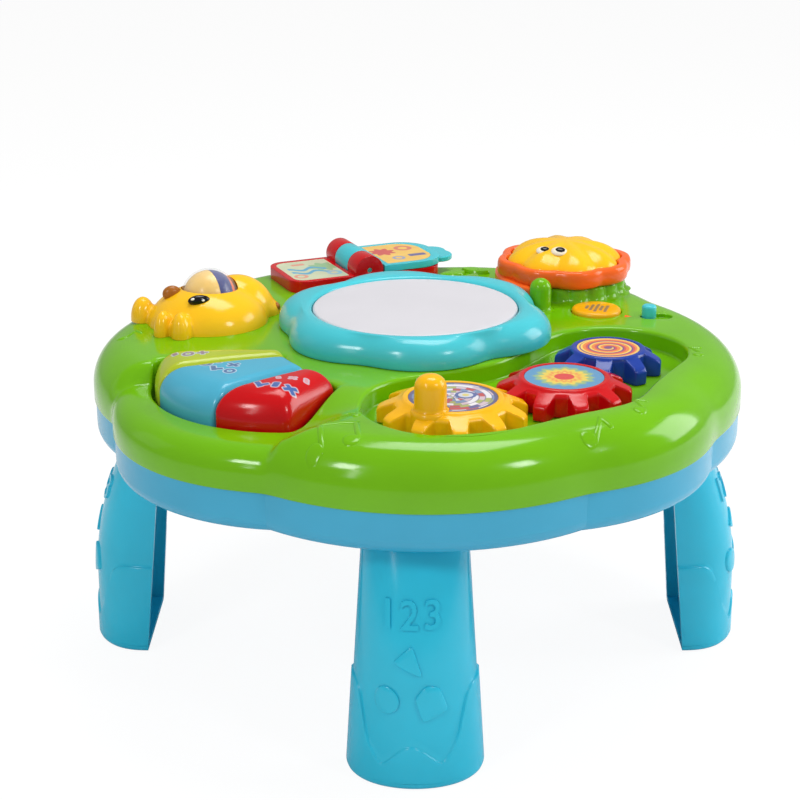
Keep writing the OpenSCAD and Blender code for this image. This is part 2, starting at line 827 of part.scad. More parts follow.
drum_top_z = deck_z + ring_h - 1;
flange_z = deck_z + drum_travel + 1.1;
flange_t = 2;
flange_r = disc_r + 2.8;
skirt_t = 2.4;
ring_out = 36;
RING_LOBES = [for (a = [-138, -86, -23, 42, 103, 165]) [a, ring_out]];

module drum_ring() {
    color("mediumturquoise") difference() {
        union() {
            translate([ring_at[0], ring_at[1], deck_z]) lobed(RING_LOBES, ring_reach, ring_h, ring_edge);
            seat_pegs(ring_pegs);
        }
        translate([drum_at[0], drum_at[1], deck_z - 1]) {
            cylinder(r = disc_r + disc_gap, h = ring_h + 2);
            cylinder(r = flange_r + disc_gap, h = flange_z + flange_t + 0.3 - deck_z + 1);
        }
    }
}

module drum_disc() {
    color("white") translate([drum_at[0], drum_at[1], 0]) difference() {
        union() {
            translate([0, 0, flange_z]) cylinder(r = flange_r, h = flange_t);
            translate([0, 0, flange_z]) rounded_disc(disc_r, drum_top_z - flange_z, 1.2);
        }
        translate([0, 0, flange_z - 1])
            cylinder(r = disc_r - skirt_t, h = drum_top_z - flange_z - skirt_t + 1);
    }
}

module drum_pad() {
    color("gray") translate([drum_at[0], drum_at[1], deck_z])
        ring(flange_r - 0.5, disc_r - skirt_t, flange_z - deck_z);
}

drum_board_z = under_deck - 7;

module drum_board() {
    color("seagreen") translate([drum_at[0], drum_at[1], drum_board_z]) {
        cylinder(r = drum_hole_r + 5, h = board_t);
        for (r = [18, 38]) on_turns(r, [for (i = [0 : 5]) r + i * 60])
            translate([0, 0, board_t - 0.2]) rounded_disc(2.5, 4.2, 2.2);
        on_turns(drum_hole_r + 2.5, [40, 160, 280]) translate([0, 0, board_t - 0.2])
            cylinder(r = 2, h = under_deck - drum_board_z - board_t + 0.2);
    }
}

// ---- book ----

spine_z = deck_z + knuckle_r + 0.9;
pin_r = 1.5;
knuckle_end = 14;
knuckle_gap = 0.4;
card_t = 0.5;
frame_w = 3.5;
base_corner = 10;
page_corner = 18;
page_rim = 6;
page_in = knuckle_r + 1;
page_out = page_w + 4;
page_z = spine_z - page_t / 2;

module in_book() { translate([book_at[0], book_at[1], 0]) rotate(book_turn) children(); }

// One leaf's outline: square at the spine, with rounded outer corners
module leaf(x0, x1, l, corner) {
    translate([x0, -l / 2]) square([x1 - corner - x0, l]);
    translate([x0, -l / 2 + corner]) square([x1 - x0, l - 2 * corner]);
    for (s = [-1, 1]) translate([x1 - corner, s * (l / 2 - corner)]) circle(corner);
}

module spine_rod(r, l, y = 0) {
    translate([0, y + l / 2, spine_z]) rotate([90, 0, 0]) cylinder(r = r, h = l);
}

module base_card() {
    for (s = [0, 1]) mirror([s, 0])
        leaf(knuckle_r + 3, page_w - frame_w, page_l - 2 * frame_w, base_corner - frame_w);
}

module book_base() {
    color("red") {
        in_book() difference() {
            union() {
                for (s = [0, 1]) mirror([s, 0, 0])
                    translate([0, 0, deck_z]) linear_extrude(base_t) leaf(-1, page_w, page_l, base_corner);
                for (s = [-1, 1]) spine_rod(knuckle_r, knuckle_end, s * (page_l - knuckle_end) / 2);
            }
            spine_rod(knuckle_r + knuckle_gap, page_l - 2 * knuckle_end);
            spine_rod(pin_r + fit / 2, page_l + 2);
            translate([0, 0, deck_z + base_t - card_t]) linear_extrude(2) base_card();
        }
        seat_pegs(book_pegs);
    }
}

module base_cards() {
    color("palegreen") in_book() translate([0, 0, deck_z + base_t - card_t])
        linear_extrude(card_t - 0.05) base_card();
}

module page_card() {
    leaf(page_in + 3.5, page_out - page_rim, page_l - 2 * frame_w, page_corner - page_rim + 2);
}

module book_page() {
    color("turquoise") in_book() difference() {
        union() {
            translate([0, 0, page_z]) linear_extrude(page_t) {
                leaf(page_in, page_out, page_l, page_corner);
                translate([0, -page_l / 2 + knuckle_end + knuckle_gap])
                    square([page_in + 1, page_l - 2 * knuckle_end - 2 * knuckle_gap]);
            }
            spine_rod(knuckle_r, page_l - 2 * knuckle_end - 2 * knuckle_gap);
        }
        spine_rod(pin_r + fit, page_l);
        for (z = [page_z - 1, page_z + page_t - card_t])
            translate([0, 0, z]) linear_extrude(card_t + 1) page_card();
    }
}

module page_cards() {
    color("khaki") in_book() for (z = [page_z + 0.05, page_z + page_t - card_t])
        translate([0, 0, z]) linear_extrude(card_t - 0.05) page_card();
}

module book_pin() {
    color("silver") in_book() spine_rod(pin_r, page_l - 1);
}

// ---- hippo and rolling ball ----

// Dome of a sphere above the deck, given its radius on the deck and its height
module cap(p, r, h) {
    ball = (r * r + h * h) / (2 * h);
    intersection() {
        translate([p[0], p[1], deck_z + h - ball]) sphere(ball);
        translate([p[0], p[1], deck_z]) cylinder(r = r + 1, h = h + 1);
    }
}

module at_ball() {
    translate([ball_at[0], ball_at[1], ball_z]) rotate(ball_turn) children();
}

module hippo_body() {
    color("gold") {
        difference() {
            union() {
                cap(head_at, 33, 19);
                cap(snout_at, 19, 12);
                cap([-127, 5], 8, 7);
                cap([-137, 14], 6.5, 7);
                cap([-145, 36], 5, 7);
            }
            at_ball() sphere(ball_r + ball_gap);
            at_ball() rotate([0, 90, 0]) translate([0, 0, -axle_l / 2 - 0.3])
                cylinder(r = axle_r + fit, h = axle_l + 0.6);
        }
        seat_pegs(hippo_pegs);
    }
}

module roller_ball() {
    color("lightcyan") at_ball() rotate([0, 90, 0]) rotate_extrude() difference() {
        circle(ball_r);
        circle(ball_r - ball_wall);
        translate([-2 * ball_r + axle_r + fit, -ball_r]) square(2 * ball_r);
    }
}

module rainbow_band() {
    color("magenta") at_ball() rotate([0, 90, 0]) difference() {
        union() {
            translate([0, 0, -band_w / 2]) ring(band_r, band_r - 1, band_w);
            translate([0, 0, -0.75]) cylinder(r = band_r - 0.5, h = 1.5);
            translate([0, 0, -2]) cylinder(r = axle_r + 1.5, h = 4);
        }
        translate([0, 0, -ball_r]) cylinder(r = axle_r + fit, h = 2 * ball_r);
    }
}

module ball_axle() {
    color("silver") at_ball() rotate([0, 90, 0])
        translate([0, 0, -axle_l / 2]) cylinder(r = axle_r, h = axle_l);
}

// ---- flower ----

flower_turn = 10;
ring_foot_z = riser_top_z;
ring_floor_t = 1.6;
bloom_foot_z = ring_foot_z + ring_floor_t + bloom_travel + 0.3;
bloom_lip_r = bloom_reach + 1.4;
lip_t = 2;
bloom_dome_h = 6;

module at_flower(z) {
    translate([flower_at[0], flower_at[1], z]) children();
}

// Leaf beside the flower: where two circles overlap
module side_leaf() {
    translate([50, 103]) rotate(-38) intersection() {
        translate([0, -9]) circle(20);
        translate([0, 9]) circle(20);
    }
}

module flower_ring() {
    color("orangered") difference() {
        union() {
            at_flower(ring_foot_z) lobed(even_lobes(8, 20, flower_turn), flower_reach, flower_ring_h, 5);
            translate([0, 0, deck_z]) linear_extrude(riser_h + 1.5) side_leaf();
        }
        at_flower(deck_z - 1) cylinder(r = riser_r + 0.2, h = riser_h + 1);
        at_flower(ring_foot_z + ring_floor_t)
            cylinder(r = bloom_lip_r + 0.5, h = bloom_foot_z + lip_t + 0.3 - ring_foot_z - ring_floor_t);
        at_flower(ring_foot_z + ring_floor_t) cylinder(r = bloom_reach + 0.5, h = flower_ring_h);
        at_flower(ring_foot_z - 1) cylinder(r = 9, h = ring_floor_t + 2);
    }
}

module flower_button() {
    color("gold") {
        difference() {
            union() {
                at_flower(bloom_foot_z) lobed(even_lobes(8, bloom_reach / 2, flower_turn), bloom_reach,
                                              deck_z + bloom_rise - bloom_foot_z, 13.5);
                at_flower(bloom_foot_z) cylinder(r = bloom_lip_r, h = lip_t);
            }
            at_flower(bloom_foot_z - 1) cylinder(r = bloom_reach - 6, h = 12);
        }
        at_flower(ring_foot_z + bloom_dome_h + 0.3) cylinder(r = 4, h = 10);
    }
}

module flower_dome() {
    color("whitesmoke") at_flower(ring_foot_z) rubber_dome(bloom_dome_h);
}

// ---- mode button and on/off switch ----

side_board_z = deck_z - 12;
mode_dome_h = 4.5;
switch_w = 8;
switch_l = 15;
switch_h = 6.5;

module in_side() {
    translate([mode_at[0], mode_at[1], 0]) rotate(side_turn) children();
}

side_turn = -18;

module side_posts() {
    in_side() for (p = [[-16, -9.5], [20, 4.8]]) translate(p) children();
}

module side_board() {
    color("seagreen") difference() {
        in_side() translate([-20, -12.6, side_board_z]) cube([66, 21, board_t]);
        side_posts() translate([0, 0, side_board_z - 1]) cylinder(r = screw_r + 0.2, h = board_t + 2);
    }
}

module mode_dome() {
    color("whitesmoke") translate([mode_at[0], mode_at[1], side_board_z + board_t]) rubber_dome(mode_dome_h);
}

module mode_button() {
    color("gold") translate([mode_at[0], mode_at[1], 0]) {
        translate([0, 0, under_deck - 2.3]) rounded_disc(mode_r, wall + mode_rise + 2.3, 2);
        translate([0, 0, under_deck - 2.3]) cylinder(r = mode_r + 1.8, h = 2);
        translate([0, 0, side_board_z + board_t + mode_dome_h + 0.3])
            cylinder(r = 3.5, h = under_deck - 2 - side_board_z - board_t - mode_dome_h - 0.3);
    }
}

module switch_knob() {
    color("turquoise") translate([knob_at[0], knob_at[1], 0]) {
        translate([0, 0, deck_z - 0.9]) rounded_disc(knob_r, knob_h, 2);
        translate([0, 0, side_board_z + board_t + switch_h - 2.5])
            cylinder(r = lever_r, h = deck_z - side_board_z - board_t - switch_h + 2.5);
    }
}

module slide_switch() {
    color("dimgray") difference() {
        translate([knob_at[0], knob_at[1], side_board_z + board_t]) rotate(knob_turn)
            translate([(knob_travel - switch_l) / 2, -switch_w / 2, 0]) cube([switch_l, switch_w, switch_h]);
        translate([0, 0, side_board_z + board_t + switch_h - 3]) linear_extrude(4) switch_slot(lever_r + 0.3);
    }
}

tray();
top_shell();
leg_front();
leg_right();
leg_back();
leg_left();
drum_ring();
drum_disc();
drum_pad();
drum_board();
yellow_gear();
red_gear();
blue_gear();
yellow_gear_disc();
red_gear_disc();
blue_gear_disc();
crank_peg();
gear_screws();
key_yellow();
key_blue();
key_red();
key_domes();
key_board();
book_base();
base_cards();
book_page();
page_cards();
book_pin();
hippo_body();
roller_ball();
rainbow_band();
ball_axle();
flower_ring();
flower_button();
flower_dome();
mode_button();
mode_dome();
switch_knob();
slide_switch();
side_board();
battery_door();
door_screw();
batteries();
battery_contacts();
speaker();
main_board();
board_screws();
shell_screws();
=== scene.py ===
"""Looks of the musical activity table: fine skins, printed labels, lights and camera."""
import math

import bmesh
import bpy
import numpy as np
from mathutils import Matrix, Vector
from mathutils.geometry import delaunay_2d_cdt


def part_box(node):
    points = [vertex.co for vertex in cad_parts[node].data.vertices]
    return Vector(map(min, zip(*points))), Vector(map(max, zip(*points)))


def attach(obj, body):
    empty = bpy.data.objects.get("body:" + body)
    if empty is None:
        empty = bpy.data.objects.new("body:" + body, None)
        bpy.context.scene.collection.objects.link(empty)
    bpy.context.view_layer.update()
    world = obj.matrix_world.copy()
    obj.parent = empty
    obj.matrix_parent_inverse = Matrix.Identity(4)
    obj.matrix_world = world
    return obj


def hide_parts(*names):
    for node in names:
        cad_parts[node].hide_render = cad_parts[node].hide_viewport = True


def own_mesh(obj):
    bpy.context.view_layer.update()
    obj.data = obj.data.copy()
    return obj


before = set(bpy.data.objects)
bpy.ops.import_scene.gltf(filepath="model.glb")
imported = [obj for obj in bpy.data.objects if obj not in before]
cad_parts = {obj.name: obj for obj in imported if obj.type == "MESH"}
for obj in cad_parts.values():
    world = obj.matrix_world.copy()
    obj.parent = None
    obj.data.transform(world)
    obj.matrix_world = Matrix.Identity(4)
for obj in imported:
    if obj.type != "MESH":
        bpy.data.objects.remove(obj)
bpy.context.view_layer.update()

# Pieces are modelled in millimetres and brought to metres when they are settled.
METRE = 0.001


def polar(distance, turn):
    return distance * math.cos(math.radians(turn)), distance * math.sin(math.radians(turn))


def around(centre, distance, turn):
    """The point at a distance from a centre, in a direction."""
    across, up = polar(distance, turn)
    return centre[0] + across, centre[1] + up


# ---- sizes that the solids have ----

SEAM = 138
DECK = 168
TABLE_REACH = 172
# The direction of each lobe of the top, and how far out its middle lies
LOBES = [(-138, 75), (-84, 50), (-44, 70), (-1, 40), (55, 50), (115, 50), (172, 60)]
# How far in the rim's round edge reaches, and the rim's height over the seam; both are less beside the keys
RIM, RIM_HEIGHT = 22, 30
LOW_RIM, LOW_HEIGHT = 12.5, 20

YELLOW_AT = (18, -105)
RED_AT = (73.154, -74.553)
BLUE_AT = (99.416, -27.370)
GEAR_FLOOR = 158
GEAR_FOOT = GEAR_FLOOR + 0.3
GEAR_HEIGHT = 13
CRANK_AT = around(YELLOW_AT, 20.5, -122)
# Directions from the yellow gear to the red one, and from the red one to the blue one
TO_RED, TO_BLUE = 28.9, 60.9
# Pitch radius for each tooth, and how far the tips and the roots lie from the pitch circle
PITCH, TOOTH_TIP, TOOTH_ROOT = 3, 3.48, 4.44

KEY_APEX = (-11, -29)
KEY_FLOOR = 148
KEY_FOOT = 151.1
KEY_TOP = 175.2
# Directions of the fan's sides and of the gaps between the keys, from the right
KEY_TURNS = (-119, -137.8, -160.3, -176.5)
KEY_STEMS = [around(KEY_APEX, 88, (first + last) / 2) for first, last in zip(KEY_TURNS, KEY_TURNS[1:])]
# The fan ends on a round front edge, and at the back at a distance from its apex
FAN_FRONT_AT, FAN_FRONT_R, FAN_BACK = (-62, -46), 70, 57

DRUM_AT = (0, 12)
DRUM_TOP = 182
RING_AT = (0, 16)
RING_TOP = 183
FLOWER_AT = (86, 98)
FLOWER_FOOT = 176.5
NUB_AT = (69.6, 53)
MODE_AT = (100.5, 49.5)
KNOB_AT = (128.5, 39.5)
BOOK_AT = (-36, 123)
BOOK_TURN = 24
PAGE_FOOT = 175.4
BALL_AT = (-112, 34, 181)
BALL_TURN = 20
BALL_R = 15.5
BALL_WALL = 0.9


# ---- outlines ----
# A form is a function that is negative inside and tells how far a point is from its edge.

def disc(x, y, radius):
    return lambda px, py: np.hypot(px - x, py - y) - radius


def side(x, y, turn):
    """Half plane to the right of a line through a point."""
    dx, dy = polar(1, turn)
    return lambda px, py: (py - y) * dx - (px - x) * dy


def outside(form):
    return lambda px, py: -form(px, py)


def merged(forms, soft):
    """All forms together, with the corners between them filled softly."""
    def form(px, py):
        values = np.array([f(px, py) for f in forms])
        low = values.min(axis=0)
        return low - soft * np.log(np.exp((low - values) / soft).sum(axis=0))
    return form


def common(forms, soft):
    """What the forms have in common, with softened corners."""
    return outside(merged([outside(f) for f in forms], soft))


def tapered(a, b):
    """Straight-sided web round two circles, each a place and a radius."""
    shares = np.linspace(0, 1, 25)

    def form(px, py):
        values = [np.hypot(px - (a[0] + (b[0] - a[0]) * t), py - (a[1] + (b[1] - a[1]) * t))
                  - (a[2] + (b[2] - a[2]) * t) for t in shares]
        return np.array(values).min(axis=0)
    return form


def outline(form, centre, grow=0.0, steps=360):
    """Points on a form's edge, grown by a distance, seen from a point inside it."""
    turns = np.arange(steps) * 2 * math.pi / steps
    ways = np.cos(turns), np.sin(turns)
    near, far = np.zeros(steps), np.full(steps, 400.0)
    for _ in range(34):
        half = (near + far) / 2
        inside = form(centre[0] + half * ways[0], centre[1] + half * ways[1]) < grow
        near, far = np.where(inside, half, near), np.where(inside, far, half)
    return centre[0] + near * ways[0], centre[1] + near * ways[1]


def ring_at(form, centre, grow, height, steps=360):
    x, y = outline(form, centre, grow, steps)
    z = np.broadcast_to(height, x.shape)
    return np.stack([x, y, z], axis=1)


def rings_at(form, centre, profile, steps=360):
    """Rings round a form: how far each is grown, and its height."""
    return [ring_at(form, centre, grow, z, steps) for grow, z in profile]


def circle_ring(centre, radius, height, steps=96):
    turns = np.arange(steps) * 2 * math.pi / steps
    return np.stack([centre[0] + radius * np.cos(turns), centre[1] + radius * np.sin(turns),
                     np.full(steps, float(height))], axis=1)


def circle_rings(centre, profile, steps=96):
    """Round rings: each one's radius and height."""
    return [circle_ring(centre, r, z, steps) for r, z in profile]


def drawn_in(ring, centre, share):
    """Across and up of a ring that is brought nearer to a centre."""
    return [centre[i] + (ring[:, i] - centre[i]) * share for i in (0, 1)]


def quarter(radius, steps, start=0, end=90):
    """Steps over a rounded edge: how far in from the wall and how far down from the top."""
    return [(radius * (1 - math.cos(math.radians(a))), radius * (1 - math.sin(math.radians(a))))
            for a in np.linspace(start, end, steps)]


# ---- modelling ----

def deselect():
    if bpy.context.object and bpy.context.object.mode != "OBJECT":
        bpy.ops.object.mode_set(mode="OBJECT")
    bpy.ops.object.select_all(action="DESELECT")


def select(piece):
    deselect()
    piece.select_set(True)
    bpy.context.view_layer.objects.active = piece
    return piece


def open_up(piece):
    """Edit mode, with all of the piece selected."""
    select(piece)
    bpy.ops.object.mode_set(mode="EDIT")
    bpy.ops.mesh.select_all(action="SELECT")


def skin(name, rings, ends=True):
    """A circle shaped to the first ring, then extruded from ring to ring; its ends are filled."""
    deselect()
    bpy.ops.mesh.primitive_circle_add(vertices=len(rings[0]), radius=1,
                                      fill_type="NGON" if ends else "NOTHING", enter_editmode=True)
    piece = bpy.context.object
    piece.name = piece.data.name = name
    bpy.ops.mesh.select_mode(type="EDGE")
    mesh = bmesh.from_edit_mesh(piece.data)
    number = mesh.verts.layers.int.new("number")
    mesh.verts.ensure_lookup_table()
    for i, vertex in enumerate(mesh.verts):
        vertex[number] = i
        vertex.co = rings[0][i]
    for ring in rings[1:]:
        bpy.ops.mesh.extrude_edges_move()
        mesh = bmesh.from_edit_mesh(piece.data)
        number = mesh.verts.layers.int["number"]
        for vertex in mesh.verts:
            if vertex.select:
                vertex.co = ring[vertex[number]]
    if ends:
        bpy.ops.mesh.edge_face_add()
    bpy.ops.mesh.select_all(action="SELECT")
    bpy.ops.mesh.normals_make_consistent(inside=False)
    bpy.ops.object.mode_set(mode="OBJECT")
    return piece


def tube(name, rings):
    """A skin without ends, whose last ring is its first one again; the seam between them is welded."""
    piece = skin(name, rings, ends=False)
    open_up(piece)
    bpy.ops.mesh.remove_doubles(threshold=0.002)
    bpy.ops.mesh.normals_make_consistent(inside=False)
    bpy.ops.object.mode_set(mode="OBJECT")
    return piece


def turned(name, centre, profile, steps=96):
    """Piece turned on a lathe: its profile is a list of radii and heights from the foot up."""
    return skin(name, circle_rings(centre, profile, steps))


def modify(piece, kind, **settings):
    """Gives a piece a modifier and applies it."""
    select(piece)
    modifier = piece.modifiers.new(kind.title(), kind)
    for key, value in settings.items():
        setattr(modifier, key, value)
    bpy.ops.object.modifier_apply(modifier=modifier.name)
    return piece


def carve(piece, cutter):
    """Cuts a piece with another one, which is used up."""
    modify(piece, "BOOLEAN", object=cutter, operation="DIFFERENCE", solver="EXACT")
    bpy.data.objects.remove(cutter)
    return piece


def join(name, pieces):
    deselect()
    for piece in pieces:
        piece.select_set(True)
    bpy.context.view_layer.objects.active = pieces[0]
    bpy.ops.object.join()
    pieces[0].name = pieces[0].data.name = name
    return pieces[0]


def copy_of(node, name):
    """A merged copy of a solid's mesh, in millimetres."""
    source = bpy.data.objects[node]
    piece = source.copy()
    piece.data = source.data.copy()
    piece.name = piece.data.name = name
    piece.parent = None
    bpy.context.scene.collection.objects.link(piece)
    piece.data.materials.clear()
    piece.data.transform(Matrix.Scale(1 / METRE, 4))
    open_up(piece)
    bpy.ops.mesh.remove_doubles(threshold=0.002)
    bpy.ops.object.mode_set(mode="OBJECT")
    return piece


def edged(piece, width):
    """Dissolves the flat triangles and rounds every sharp edge."""
    open_up(piece)
    bpy.ops.mesh.dissolve_limited(angle_limit=math.radians(0.5))
    bpy.ops.object.mode_set(mode="OBJECT")
    return modify(piece, "BEVEL", width=width, segments=3, limit_method="ANGLE", angle_limit=math.radians(30))


def duplicate(piece):
    """A copy with its own mesh."""
    select(piece)
    bpy.ops.object.duplicate()
    return bpy.context.object


def oval(name, at, size, turn=0, tilt=0, segments=48, rings=32):
    """An egg shape with three half sizes, tilted towards the front and then turned."""
    deselect()
    bpy.ops.mesh.primitive_uv_sphere_add(segments=segments, ring_count=rings, radius=1, enter_editmode=True)
    bpy.ops.mesh.select_all(action="SELECT")
    bpy.ops.transform.resize(value=size)
    bpy.ops.object.mode_set(mode="OBJECT")
    piece = bpy.context.object
    piece.name = piece.data.name = name
    piece.data.transform(Matrix.Translation(at) @ Matrix.Rotation(math.radians(turn), 4, "Z")
                         @ Matrix.Rotation(math.radians(tilt), 4, "X"))
    return piece


def placed(piece, at, turn):
    """Turns a piece about the vertical and moves it to its place."""
    piece.data.transform(Matrix.Translation((*at, 0)) @ Matrix.Rotation(math.radians(turn), 4, "Z"))
    return piece


def settle(piece, material, body, nodes=(), like=None, angle=40):
    """Brings a finished piece to metres, paints it and fixes it to its body."""
    select(piece)
    bpy.ops.object.shade_smooth_by_angle(angle=math.radians(angle))
    piece.data.transform(Matrix.Scale(METRE, 4))
    piece.data.materials.clear()
    piece.data.materials.append(material)
    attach(piece, body)
    if nodes:
        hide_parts(*nodes)
    return piece


# ---- paint ----

def linear(red, green, blue):
    """A colour written 0 to 255, as the shaders read it."""
    return tuple((c / 255 / 12.92) if c <= 10 else ((c / 255 + 0.055) / 1.055) ** 2.4
                 for c in (red, green, blue)) + (1.0,)


class Value:
    """A number in a material; an expression on it adds its Math nodes."""

    def __init__(self, paint, socket):
        self.paint, self.socket = paint, socket

    def math(self, operation, *others):
        return self.paint.worked(operation, self, *others)

    def __add__(self, other):
        return self.math("ADD", other)

    __radd__ = __add__

    def __sub__(self, other):
        return self.math("SUBTRACT", other)

    def __rsub__(self, other):
        return self.paint.worked("SUBTRACT", other, self)

    def __mul__(self, other):
        return self.math("MULTIPLY", other)

    __rmul__ = __mul__

    def __truediv__(self, other):
        return self.math("DIVIDE", other)

    def __mod__(self, other):
        return self.math("FLOORED_MODULO", other)

    def __abs__(self):
        return self.math("ABSOLUTE")

    def lower(self, other):
        return self.math("MINIMUM", other)

    def higher(self, other):
        return self.math("MAXIMUM", other)

    def sine(self):
        return self.math("SINE")

    def root(self):
        return self.math("SQRT")

    def floor(self):
        return self.math("FLOOR")

    def inside(self, soft=0.12):
        """1 where the number is below zero, 0 above, with a soft edge in millimetres."""
        return (0.5 - self / (2 * soft)).clamped()

    def clamped(self):
        return self.higher(0).lower(1)


class Paint:
    """A material with a Principled shader and short ways to add its nodes."""

    def __init__(self, name, **fixed):
        self.material = bpy.data.materials.new(name)
        self.material.use_nodes = True
        self.tree = self.material.node_tree
        self.shader = self.tree.nodes["Principled BSDF"]
        for key, value in fixed.items():
            socket = key.replace("_", " ").title().replace("Ior", "IOR")
            self.shader.inputs[socket].default_value = value

    def give(self, socket, value):
        """Links a value to a socket, or sets the socket to a plain number or colour."""
        if isinstance(value, Value):
            value = value.socket
        if isinstance(value, bpy.types.NodeSocket):
            self.tree.links.new(value, socket)
        else:
            socket.default_value = value

    def node(self, kind, settings=None, stops=None, **inputs):
        node = self.tree.nodes.new("ShaderNode" + kind)
        for key, value in (settings or {}).items():
            setattr(node, key, value)
        if stops:
            ramp = node.color_ramp
            while len(ramp.elements) < len(stops):
                ramp.elements.new(1)
            for element, (place, colour) in zip(ramp.elements, stops):
                element.position, element.color = place, colour
        for key, value in inputs.items():
            self.give(node.inputs[key.replace("_", " ")], value)
        return node

    def worked(self, operation, *values):
        """A Math node on numbers and values."""
        node = self.node("Math", {"operation": operation})
        for socket, value in zip(node.inputs, values):
            self.give(socket, value)
        return Value(self, node.outputs[0])

    def place(self, centre=(0, 0, 0), turn=0):
        """Millimetres from a centre along turned axes."""
        where = self.node("TexCoord").outputs["Object"]
        local = self.node("Mapping", {"vector_type": "TEXTURE"}, Vector=where,
                          Location=[c * METRE for c in centre],
                          Rotation=(0, 0, math.radians(turn)), Scale=(METRE, METRE, METRE))
        return local.outputs["Vector"]

    def split(self, vector):
        parts = self.node("SeparateXYZ", Vector=vector)
        return [Value(self, parts.outputs[i]) for i in range(3)]

    def noise(self, size, detail):
        """Cloudy noise whose patches are about size millimetres wide, around 0.5."""
        texture = self.node("TexNoise", Vector=self.place(), Scale=1 / size, Detail=detail)
        return Value(self, texture.outputs["Fac"])

    def mix(self, share, below, above):
        node = self.node("Mix", {"data_type": "RGBA"})
        self.give(node.inputs[0], share)
        self.give(node.inputs[6], below)
        self.give(node.inputs[7], above)
        return node.outputs[2]

    def bump(self, height, distance):
        """Height from 0 to 1, times a distance in millimetres."""
        return self.node("Bump", Height=height, Distance=distance * METRE, Strength=1.0).outputs["Normal"]

    def finish(self, colour, roughness=None, normal=None, coat=None):
        for name, value in (("Base Color", colour), ("Roughness", roughness), ("Normal", normal),
                            ("Coat Weight", coat)):
            if value is not None:
                self.give(self.shader.inputs[name], value)
        return self.material


def shaded(colour, share):
    return tuple(min(1.0, c * share) for c in colour[:3]) + (1.0,)


def moulded(name, colour, gloss=0.2, grain=0.02, marks=None, drift=0.05):
    """Glossy injection-moulded plastic: faint flow tone, handling smudges and a fine skin."""
    paint = Paint(name, ior=1.5, specular_ior_level=0.34)
    flow = paint.noise(38, 3)
    tone = paint.mix(((flow - 0.5) * 2.2 + 0.5).clamped(),
                     shaded(colour, 1 - drift), shaded(colour, 1 + drift))
    smudge = paint.noise(11, 4)
    scuff = ((paint.noise(3.2, 5) - 0.62) * 6).clamped()
    roughness = gloss + (smudge - 0.5) * 0.09 + scuff * 0.05
    skin_height = paint.noise(0.9, 2) * 0.5 + paint.noise(4.5, 2) * 0.5
    normal = paint.bump(skin_height, grain)
    if marks:
        tone, roughness = marks(paint, tone, roughness)
    return paint.finish(tone, roughness, normal)


GREEN = linear(112, 182, 6)
TRAY_BLUE = linear(64, 168, 204)
LEG_BLUE = linear(44, 190, 220)
TURQUOISE = linear(72, 196, 208)
PALE_GREY = linear(212, 210, 215)
YELLOW = linear(252, 186, 14)
ANIMAL_YELLOW = linear(252, 194, 26)
RED = linear(202, 3, 12)
ORANGE = linear(254, 104, 30)
GEAR_BLUE = linear(28, 62, 158)
KEY_GREEN = linear(176, 192, 44)
KEY_BLUE = linear(76, 174, 204)
NAVY = linear(34, 46, 124)
WHITE = linear(240, 240, 238)
BLACK = linear(16, 15, 17)


# ---- printed forms ----

def distance(x, y):
    return (x * x + y * y).root()


def ring_marks(x, y):
    """How far out and which way round a label's point is."""
    return distance(x, y), y.math("ARCTAN2", x)


def bar(x, y, half_w, half_h, corner=0.4):
    """Distance from a rounded bar."""
    dx = (abs(x) - (half_w - corner)).higher(0)
    dy = (abs(y) - (half_h - corner)).higher(0)
    return distance(dx, dy) - corner


def blocks(paint, stops, place):
    """Plain colours side by side: each stop's place and colour."""
    ramp = paint.node("ValToRGB", {}, stops, Fac=place)
    ramp.color_ramp.interpolation = "CONSTANT"
    return ramp.outputs["Color"]


def label(name, draw, gloss=0.32):
    """Printed paper label under a clear film."""
    paint = Paint(name, ior=1.48, coat_roughness=0.12)
    colour = draw(paint)
    fibre = paint.noise(0.35, 3)
    roughness = gloss + (paint.noise(6, 3) - 0.5) * 0.12
    worn = paint.mix((fibre - 0.35) * 0.12, colour, (0.9, 0.9, 0.9, 1))
    return paint.finish(worn, roughness, paint.bump(fibre, 0.02), coat=0.5)


TRACK_WIDTH = 3.1
TRACK_BLOCKS = 18


def checked_rings(paint):
    """Rings of coloured blocks round a small wheel; a block's colour comes from its ring and its place."""
    x, y, _ = paint.split(paint.place((*YELLOW_AT, 0), 12))
    far, way = ring_marks(x, y)
    track = (far / TRACK_WIDTH).floor()
    block = ((way / (2 * math.pi) + 0.5) * TRACK_BLOCKS + track * 3.37).floor()
    pick = ((block * 12.9898 + track * 78.233).sine() * 43.7).math("FRACT")
    tones = blocks(paint, [
        (0.0, linear(236, 232, 236)), (0.18, linear(236, 232, 236)), (0.34, linear(96, 86, 146)),
        (0.46, linear(196, 66, 62)), (0.58, linear(126, 148, 186)), (0.72, linear(172, 178, 92)),
        (0.86, linear(214, 190, 200)), (1.0, linear(70, 78, 130))], pick)
    edge = abs(far % TRACK_WIDTH - TRACK_WIDTH / 2) - 1.32
    colour = paint.mix(edge.inside(0.14), linear(120, 112, 150), tones)
    wheel = distance(x - 6.5, y - 1.5)
    colour = paint.mix((wheel - 5.2).inside(), colour, linear(84, 96, 160))
    colour = paint.mix((wheel - 3.6).inside(), colour, linear(214, 216, 226))
    colour = paint.mix((wheel - 1.7).inside(), colour, linear(226, 206, 110))
    return paint.mix((far - 19.6).inside(), linear(92, 86, 130), colour)


